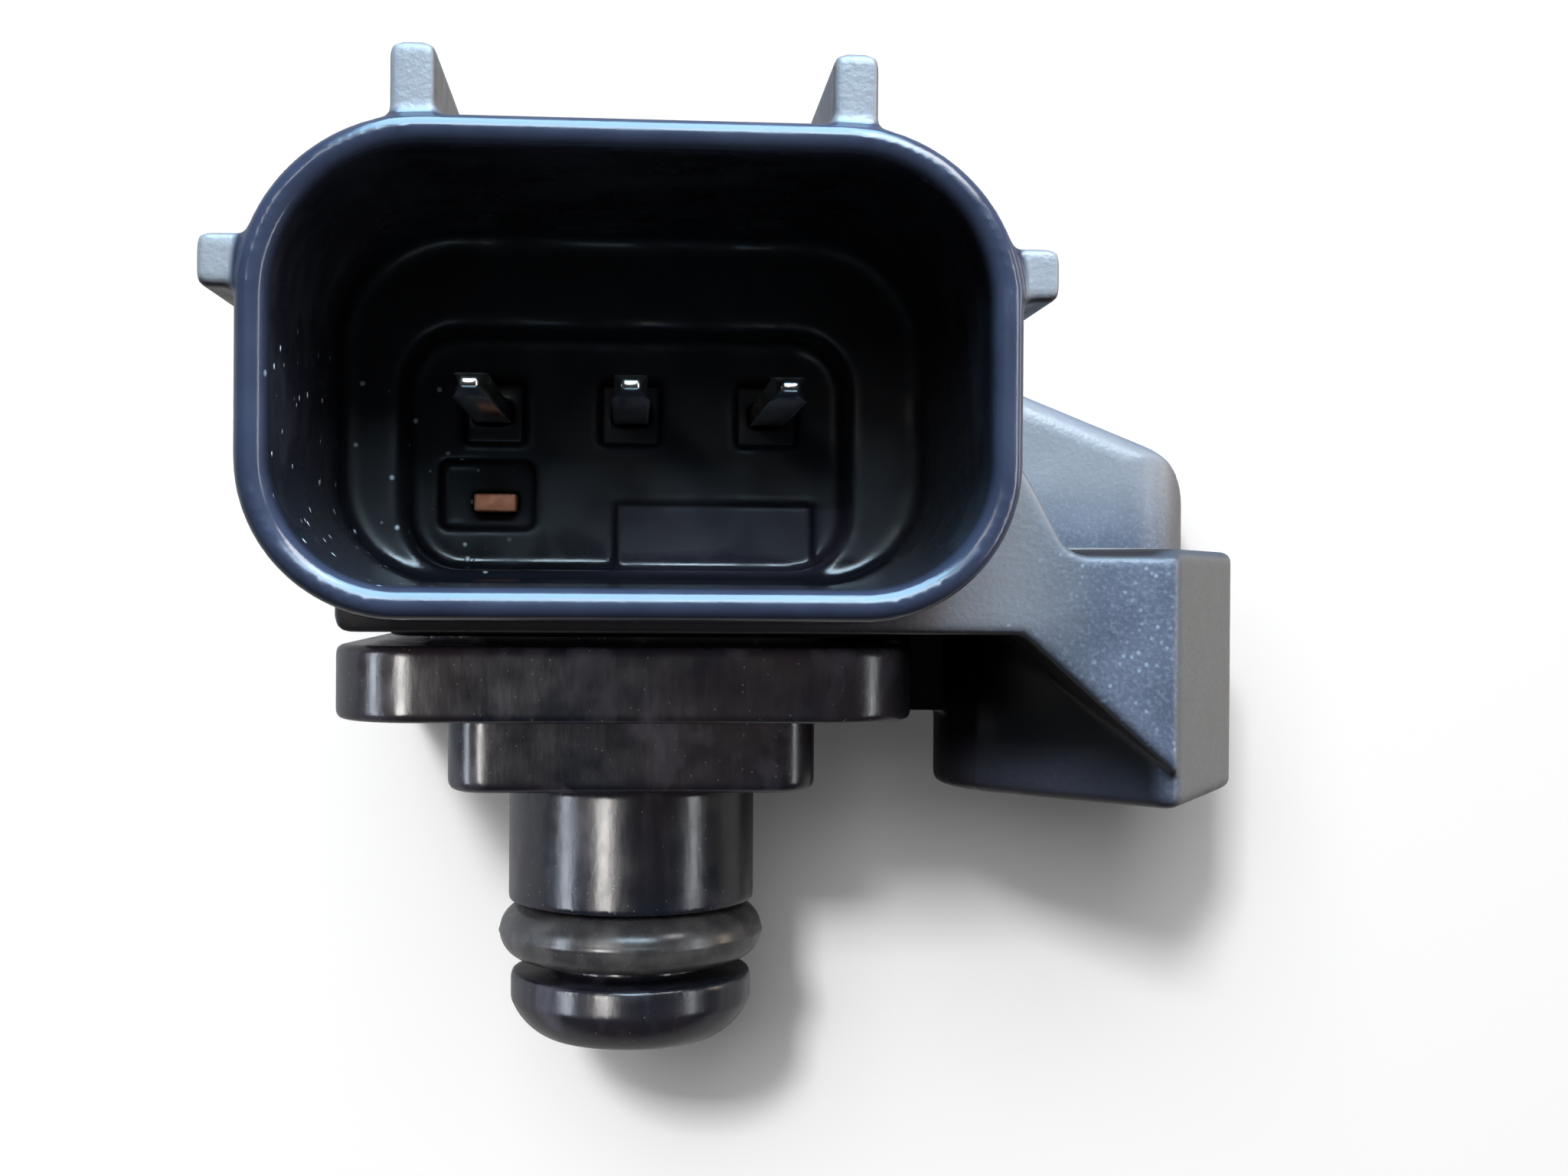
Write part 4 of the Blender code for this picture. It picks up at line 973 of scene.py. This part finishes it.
def housing_finish():
    """Glass-filled black plastic: polished in and round the mouth, elsewhere satin with pale fibres."""
    f = Finish("housing_glass_filled_plastic")
    polished = polished_mask(f)
    recessed, shaded = under_web_masks(f)
    # Mask of the up-facing ledges below the shoulder, which are painted in shade and made rougher.
    shaded_ledge = f.times(f.facing("Z", 0.2, 0.7, 0.0, 0.8), f.band("Z", *LEDGE_SHADE_EASE, 1.0, 0.0))
    deep = f.band("Y", MOUTH_Y + RIM_FILLET / 3, MOUTH_Y + 2 * RIM_FILLET, 0.0, 1.0)
    # Dust specks on the cavity's left wall, painted as glints; their bump catches light too.
    specks_and_glints = f.times(f.flecks(1100.0, 0.06, 0.14), f.band("X", *SPECK_SIDE, 1.0, 0.0),
                     f.band("Z", *SPECK_EASE, 1.0, 0.0), deep)
    cloud = f.patches(420.0, 5.0, 0.35, 0.65)
    satin = satin_colour(f, cloud, shaded_ledge, recessed, shaded)
    f.colour(f.blend(polished, satin, gloss_colour(f, cloud, deep, specks_and_glints)))
    noise = f.noise(900.0, 5.0)
    rough = f.plus(f.uneven(noise, 0.32, 0.44), f.times(shaded_ledge, 0.4))
    rough = f.mixed(shaded, rough, f.uneven(noise, 0.28, 0.38))
    f.roughness(f.mixed(polished, rough, gloss_roughness(f, noise, deep)))
    f.relief(f.times(specks_and_glints, polished), 0.00008, 0.9)
    grain = f.mixed(polished, f.noise(5200.0, 3.0), f.times(f.noise(2600.0, 2.0), 0.25))
    f.relief(f.times(grain, f.ranged(shaded, 0.0, 1.0, 1.0, 0.1)), 0.000036, 0.6)
    f.relief(f.noise(700.0, 2.0), 0.00003, 0.4)
    return f.material


def cover_finish():
    """Smooth dark plastic with wiped smears in faint blue and brown, and fine upright drag marks."""
    f = Finish("cover_dark_grey_plastic")
    smear = f.patches(420.0, 5.0, 0.52, 0.72, 0.6, stretch=(1.0, 1.0, 0.6), distortion=0.6)
    drags = f.patches(2400.0, 4.0, 0.55, 0.80, 0.35, stretch=(1.0, 1.0, 0.10))
    base = f.blend(f.patches(160.0, 3.0, 0.4, 0.6), (0.006, 0.007, 0.011), (0.012, 0.009, 0.011))
    base = f.blend(smear, base, (0.052, 0.047, 0.060))
    base = f.blend(drags, base, (0.028, 0.026, 0.031))
    f.colour(f.blend(f.times(f.flecks(2600.0, 0.04, 0.12), 0.3), base, (0.20, 0.19, 0.19)))
    f.roughness(f.uneven(f.noise(700.0, 4.0), 0.19, 0.31))
    f.relief(f.noise(4200.0, 3.0, (1.0, 1.0, 0.3)), 0.000010, 0.5)
    f.relief(f.noise(500.0, 2.0), 0.00002, 0.4)
    return f.material


def rubber_finish():
    """Moulded black rubber with a dusting of dirt."""
    f = Finish("black_rubber")
    base = f.blend(f.patches(900.0, 5.0, 0.4, 0.7), (0.024, 0.022, 0.023), (0.052, 0.048, 0.047))
    f.colour(f.blend(f.times(f.flecks(4200.0, 0.05, 0.14), 0.35), base, (0.24, 0.22, 0.21)))
    f.roughness(f.uneven(f.noise(1600.0, 4.0), 0.22, 0.34))
    f.relief(f.noise(4200.0, 3.0), 0.000010, 0.5)
    return f.material


def plain_finish(name, dark, light, rough, scale, metallic=0.0, stretch=(1.0, 1.0, 1.0)):
    """Two close colours in cloudy patches, with uneven gloss and a fine relief."""
    f = Finish(name, metallic)
    f.colour(f.blend(f.patches(scale, 5.0, 0.35, 0.65, stretch=stretch), dark, light))
    f.roughness(f.uneven(f.noise(scale * 2.3, 4.0, stretch), rough * 0.8, rough * 1.25))
    f.relief(f.noise(scale * 4.0, 3.0, stretch), 0.000006, 0.5)
    return f.material


def build_housing(finish):
    draft = make_housing()
    softened(draft, GRAIN, passes=5, share=0.34)
    place(draft, "housing_moulding", "housing_plastic", finish, "housing")


def build_cover(finish):
    """Flange, step, nozzle with ring groove and tongue, with the pressure bore through it."""
    outline = rounded_square(FLANGE_WIDTH, FLANGE_CORNER, FLANGE_SHIFT)
    cover = extruded("cover_flange", outline, FLANGE_LOW, FLANGE_TOP)
    bevel(cover, FLANGE_EDGE, 4)
    step = extruded("cover_step", rounded_square(STEP_WIDTH, STEP_CORNER), 0.0, FLANGE_LOW + OVERLAP)
    bevel(step, STEP_EDGE, 4)
    fillet = SHANK_ROOT_FILLET
    profile = [(0.0, OVERLAP), (SHANK_RADIUS + fillet, OVERLAP)]
    profile += arc((SHANK_RADIUS + fillet, -fillet), fillet, 90, 180)
    profile += arc((SHANK_RADIUS - LAND_EDGE, GROOVE_TOP + LAND_EDGE), LAND_EDGE, 0, -90, 4)
    profile += [(GROOVE_RADIUS, GROOVE_TOP), (GROOVE_RADIUS, GROOVE_LOW)]
    profile += arc((TIP_RADIUS - LAND_EDGE, GROOVE_LOW - LAND_EDGE), LAND_EDGE, 90, 0, 4)
    for number in range(NOSE_STEPS + 1):
        share = number / NOSE_STEPS
        turn = pi / 2 * share
        inward = (share + 1 - cos(turn)) / 2
        down = (share + sin(turn)) / 2
        radius = TIP_RADIUS - (TIP_RADIUS - TIP_END_RADIUS) * inward
        profile.append((radius, TIP_LOW + TIP_ROUND * (1 - down)))
    profile.append((0.0, TIP_LOW))
    nozzle = turned("nozzle", profile)
    tongue = extruded("cover_tongue", rounded_square(TONGUE_WIDTH, TONGUE_CORNER), FLANGE_TOP - OVERLAP,
                      TONGUE_TOP)
    outline = rounded_square(TONGUE_WIDTH - 2 * TONGUE_WALL, TONGUE_CORNER / 2)
    cut(tongue, extruded("tongue_hollow", outline, FLANGE_TOP, TONGUE_TOP + OVERLAP))
    join(cover, step, nozzle, tongue)
    high = FLANGE_TOP + OVERLAP
    low = TIP_LOW - OVERLAP
    profile = [(0.0, high), (BORE_FUNNEL_RADIUS, high), (BORE_FUNNEL_RADIUS, FLANGE_TOP)]
    profile += [(BORE_RADIUS, FLANGE_TOP - BORE_FUNNEL_DEPTH), (BORE_RADIUS, low), (0.0, low)]
    cut(cover, turned("pressure_bore", profile, BORE_TURN_STEPS))
    softened(cover, COVER_GRAIN, passes=3, share=0.45)
    place(cover, "port_cover_moulding", "cover_plastic", finish, "port_cover")


def build_ring(finish):
    """Rubber ring with the fine flash line that its mould leaves round its outside."""
    low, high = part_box("o_ring")
    radius = (high.z - low.z) / 2
    reach = high.x - radius
    section = []
    for number in range(RING_STEPS):
        angle = tau * number / RING_STEPS
        off = min(number, RING_STEPS - number) * 360.0 / RING_STEPS
        flash = FLASH_HEIGHT * exp(-(off / FLASH_SPREAD) ** 2)
        out = radius - FLASH_HEIGHT + flash
        section.append((reach + out * cos(angle), (low.z + high.z) / 2 - out * sin(angle)))
    ring = turned("ring_profile", section, RING_TURN_STEPS)
    place(ring, "sealing_ring", "rubber", finish, "o_ring")


def build_bush(finish):
    """Steel bush with rounded rims."""
    low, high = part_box("ear_bush")
    outer = (high.x - low.x) / 2
    inner = BUSH_INNER_RADIUS
    edge = BUSH_EDGE
    profile = arc((outer - edge, high.z - edge), edge, 90, 0, 5)
    profile += arc((outer - edge, low.z + edge), edge, 0, -90, 5)
    profile += arc((inner + edge, low.z + edge), edge, 270, 180, 5)
    profile += arc((inner + edge, high.z - edge), edge, 180, 90, 5)
    bush = turned("bush_profile", profile)
    bush.location = (HOLE_X, HOLE_Y, 0.0)
    place(bush, "steel_bush", "steel", finish, "ear_bush")


def build_pin(side, x, finish):
    """Tinned pin with a coined tip: chamfers on all four sides and rounded long edges."""
    tip = MOUTH_Y + PIN_TIP_BACK
    leg_low = BOARD_TOP + FINE_GAP
    leg_front = LEG_BACK - PIN_THICKNESS
    half = PIN_THICKNESS / 2
    outline = [(tip, PIN_Z - half * PIN_TIP_SHARE), (tip + PIN_TIP_LENGTH, PIN_Z - half),
               (leg_front, PIN_Z - half), (leg_front, leg_low), (LEG_BACK, leg_low)]
    outline += arc((leg_front, PIN_Z - half), PIN_THICKNESS, 0, 90, 6)
    outline += [(tip + PIN_TIP_LENGTH, PIN_Z + half), (tip, PIN_Z + half * PIN_TIP_SHARE)]
    blade = extruded("pin_blank_" + side, outline, -PIN_WIDTH / 2, PIN_WIDTH / 2)
    blade.data.transform(Matrix(((0, 0, 1, x), (1, 0, 0, 0), (0, 1, 0, 0), (0, 0, 0, 1))))
    for vertex in blade.data.vertices:
        if vertex.co.y < tip + PIN_TIP_LENGTH / 2:
            vertex.co.x = x + (vertex.co.x - x) * PIN_TIP_SHARE
    bevel(blade, PIN_THICKNESS * 0.2, 4, 25)
    place(blade, "pin_" + side, "tin", finish, "terminal_" + side)


def build_strip(finish):
    """Copper strip in the window, with sheared edges."""
    low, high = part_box("trim_terminal")
    strip = box("strip_blank", low, high)
    bevel(strip, (high.z - low.z) * 0.14, 3)
    place(strip, "copper_strip", "copper", finish, "trim_terminal")


def stage_surface():
    """White table under the sensor's back: it keeps the shadow, and seen from behind it isn't there."""
    f = Finish("white_table")
    path = f.node("LightPath").outputs
    shiny = f.larger(path["Is Glossy Ray"], path["Is Transmission Ray"])
    shown = f.larger(path["Is Camera Ray"], f.times(shiny, TABLE_SHEEN))
    f.tree.nodes.remove(f.shader)
    white = f.blend(shown, (TABLE_BOUNCE,) * 3, (TABLE_WHITE,) * 3)
    diffuse = f.node("BsdfDiffuse", {"Color": white}).outputs[0]
    glow = f.node("Emission", {"Strength": f.times(shown, TABLE_GLOW)}).outputs[0]
    lit = f.node("AddShader", {0: diffuse, 1: glow}).outputs[0]
    clear = f.node("BsdfTransparent").outputs[0]
    absent = f.larger(f.node("NewGeometry").outputs["Backfacing"], path["Is Shadow Ray"])
    mix = f.node("MixShader", {0: absent, 1: lit, 2: clear}).outputs[0]
    f.link(mix, f.tree.nodes["Material Output"].inputs["Surface"])
    return f.material


def build_stage():
    bm = bmesh.new()
    bmesh.ops.create_grid(bm, x_segments=1, y_segments=1, size=TABLE_HALF)
    table = solid("table", bm, SHOWN)
    behind = Matrix.Translation((0.0, CAD_HIGH.y + TABLE_GAP, 0.0))
    table.matrix_world = behind @ Matrix.Rotation(radians(90), 4, "X")
    dress(table, stage_surface())
    return table


def build_world():
    """White behind the sensor for the camera, a dark room in front of it, and a soft fill from above."""
    world = bpy.data.worlds.new("studio")
    bpy.context.scene.world = world
    world.use_nodes = True
    w = Nodes(world.node_tree, "Generated")
    sky = w.tree.nodes["Background"]
    sky.inputs["Color"].default_value = (1.0, 1.0, 1.0, 1.0)
    path = w.node("LightPath").outputs
    fill = w.band("Z", -0.3, 0.9, FILL_LOW, FILL_HIGH)
    behind = w.times(w.band("Y", 0.0, 0.4, STUDIO_FRONT, 1.0), w.band("Z", -0.7, 0.0, STUDIO_LOW, 1.0))
    shiny = w.larger(path["Is Glossy Ray"], path["Is Transmission Ray"])
    w.link(w.larger(path["Is Camera Ray"], w.mixed(shiny, fill, behind)), sky.inputs["Strength"])


def lamp(name, azimuth, elevation, distance, size, watts, colour):
    """Soft box aimed at the sensor. Azimuth 0 is in front of the connector and 90 at the ear's side."""
    data = bpy.data.lights.new(name, "AREA")
    data.shape = "RECTANGLE"
    data.size = size[0]
    data.size_y = size[1]
    data.energy = watts
    data.color = colour
    made = added(name, data, SHOWN)
    side = radians(azimuth)
    rise = radians(elevation)
    away = Vector((sin(side) * cos(rise), -cos(side) * cos(rise), sin(rise)))
    made.location = AIM + away * distance
    made.rotation_mode = "QUATERNION"
    made.rotation_quaternion = away.to_track_quat("Z", "Y")
    return made


def lit_group(name, objects):
    """Collection that a lamp names as the only things it lights."""
    group = bpy.data.collections.new(name)
    for obj in objects:
        group.objects.link(obj)
    return group


def build_lamps(table):
    """Boxes that light the sensor, and two that only the table takes, for its soft shadow."""
    pieces = [obj for obj in bpy.context.scene.objects if obj.type == "MESH" and obj is not table]
    sensor = lit_group("lit_sensor", pieces)
    lower_names = ("port_cover_moulding", "sealing_ring")
    lower = lit_group("lit_lower_parts", [obj for obj in pieces if obj.name in lower_names])
    pins = lit_group("lit_pins", [obj for obj in pieces if obj.name.startswith("pin_")])
    strip = lit_group("lit_strip", [obj for obj in pieces if obj.name == "copper_strip"])
    ground = lit_group("lit_table", [table])
    white = (1.0, 1.0, 1.0)
    boxes = [
        ("sky_window", -2, 60, 0.26, (0.20, 0.20), 2.70, (0.42, 0.73, 1.0), sensor),
        ("front_strip", 3, 33, 0.32, (0.16, 0.07), 0.80, (0.64, 0.85, 1.0), sensor),
        ("right_strip", 60, 0, 0.30, (0.03, 0.24), 0.30, (0.92, 0.97, 1.0), sensor),
        ("left_strip", -64, 0, 0.30, (0.05, 0.24), 0.62, (0.80, 0.88, 1.0), lower),
        ("upper_right_box", 36, 46, 0.28, (0.14, 0.10), 0.75, (0.96, 0.97, 1.0), sensor),
        ("window", -26, -5, 0.32, (0.060, 0.16), 0.85, (1.0, 0.97, 0.94), lower),
        ("low_fill", -26, 24, 0.32, (0.060, 0.10), 0.12, (1.0, 0.97, 0.94), sensor),
        ("left_box", -106, 6, 0.28, (0.12, 0.20), 0.70, (0.66, 0.84, 1.0), sensor),
        ("right_box", 96, 12, 0.30, (0.10, 0.16), 0.36, (1.0, 0.84, 0.68), sensor),
        ("strip_glint", -10, 6, 0.32, (0.06, 0.06), 0.05, (1.0, 0.95, 0.90), strip),
        ("pin_glint", -6, 16, 0.32, (0.06, 0.05), 0.20, white, pins),
        ("shadow_box", -16, 23, 0.60, (0.07, 0.07), 2.2, white, ground),
        ("wide_shadow_box", -14, 24, 0.60, (0.38, 0.38), 2.3, white, ground),
    ]
    for name, azimuth, elevation, distance, size, watts, colour, group in boxes:
        made = lamp(name, azimuth, elevation, distance, size, watts, colour)
        made.light_linking.receiver_collection = group


def build_camera():
    data = bpy.data.cameras.new("photo_camera")
    data.sensor_fit = "HORIZONTAL"
    data.sensor_width = SENSOR_WIDTH
    data.lens = FOCAL_PIXELS * SENSOR_WIDTH / PICTURE_WIDTH
    data.clip_start = 0.001
    data.clip_end = 10.0
    camera = added("photo_camera", data, SHOWN)
    bpy.context.scene.camera = camera
    yaw = radians(CAMERA_YAW)
    pitch = radians(CAMERA_PITCH)
    forward = Vector((sin(yaw) * cos(pitch), cos(yaw) * cos(pitch), -sin(pitch)))
    right = Vector((cos(yaw), -sin(yaw), 0.0))
    up = right.cross(forward)
    roll = radians(CAMERA_ROLL)
    tilted_right = right * cos(roll) + up * sin(roll)
    tilted_up = up * cos(roll) - right * sin(roll)
    rows = [(tilted_right[i], tilted_up[i], -forward[i], CAMERA_PLACE[i]) for i in range(3)]
    camera.matrix_world = Matrix((*rows, (0.0, 0.0, 0.0, 1.0)))


def dress_inner_parts():
    """A finish for each CAD node that stays as it is, under its own name."""
    looks = {
        "cover_seal_bead": ("seal_bead", (0.17, 0.17, 0.16), (0.24, 0.24, 0.23), 0.55, 900.0),
        "sensor_base": ("alumina", (0.74, 0.73, 0.69), (0.84, 0.83, 0.79), 0.6, 1400.0),
        "chip_adhesive": ("die_adhesive", (0.16, 0.16, 0.15), (0.24, 0.24, 0.22), 0.5, 1600.0),
        "glass_pedestal": ("ground_glass", (0.62, 0.68, 0.66), (0.74, 0.79, 0.77), 0.18, 1500.0),
        "pressure_chip": ("silicon", (0.13, 0.14, 0.18), (0.20, 0.21, 0.25), 0.2, 2200.0, 0.6),
        "signal_chip": ("moulded_resin", (0.018, 0.018, 0.019), (0.032, 0.032, 0.034), 0.5, 2600.0),
        "capacitor_supply": ("capacitor_body", (0.36, 0.25, 0.16), (0.48, 0.35, 0.24), 0.45, 2400.0),
        "capacitor_signal": ("capacitor_body_2", (0.36, 0.25, 0.16), (0.48, 0.35, 0.24), 0.45, 2400.0),
        "protective_gel": ("clear_gel", (0.68, 0.72, 0.70), (0.78, 0.81, 0.79), 0.12, 700.0),
    }
    gold = ((0.84, 0.60, 0.22), (0.94, 0.74, 0.34), 0.22, 5200.0, 1.0)
    for number in range(1, 5):
        looks["bond_wire_%d" % number] = ("gold_wire_%d" % number, *gold)
    solder = ((0.58, 0.58, 0.56), (0.72, 0.72, 0.70), 0.3, 2600.0, 1.0)
    for side in PIN_ROWS:
        looks["lead_joint_" + side] = ("solder_" + side, *solder)
    for name, settings in looks.items():
        finish = plain_finish(*settings)
        for material_slot in frame["nodes"][name].material_slots:
            material_slot.material = finish


def build():
    bpy.context.scene.view_settings.view_transform = "Standard"
    build_housing(housing_finish())
    build_cover(cover_finish())
    build_ring(rubber_finish())
    steel = plain_finish("zinc_steel", (0.50, 0.50, 0.48), (0.66, 0.66, 0.63), 0.34, 1500.0, 1.0,
                         (1.0, 1.0, 6.0))
    build_bush(steel)
    tin = plain_finish("tinned_brass", (0.50, 0.48, 0.44), (0.70, 0.68, 0.63), 0.22, 900.0, 1.0,
                       (1.0, 0.2, 1.0))
    for side, x in PIN_ROWS.items():
        build_pin(side, x, tin)
    copper = plain_finish("bare_copper", (0.52, 0.19, 0.10), (0.72, 0.31, 0.18), 0.42, 2600.0, 0.35)
    build_strip(copper)
    dress_inner_parts()
    for obj in list(WORKING.objects):
        bpy.data.objects.remove(obj)
    bpy.data.collections.remove(WORKING)
    table = build_stage()
    build_world()
    build_lamps(table)
    build_camera()


build()
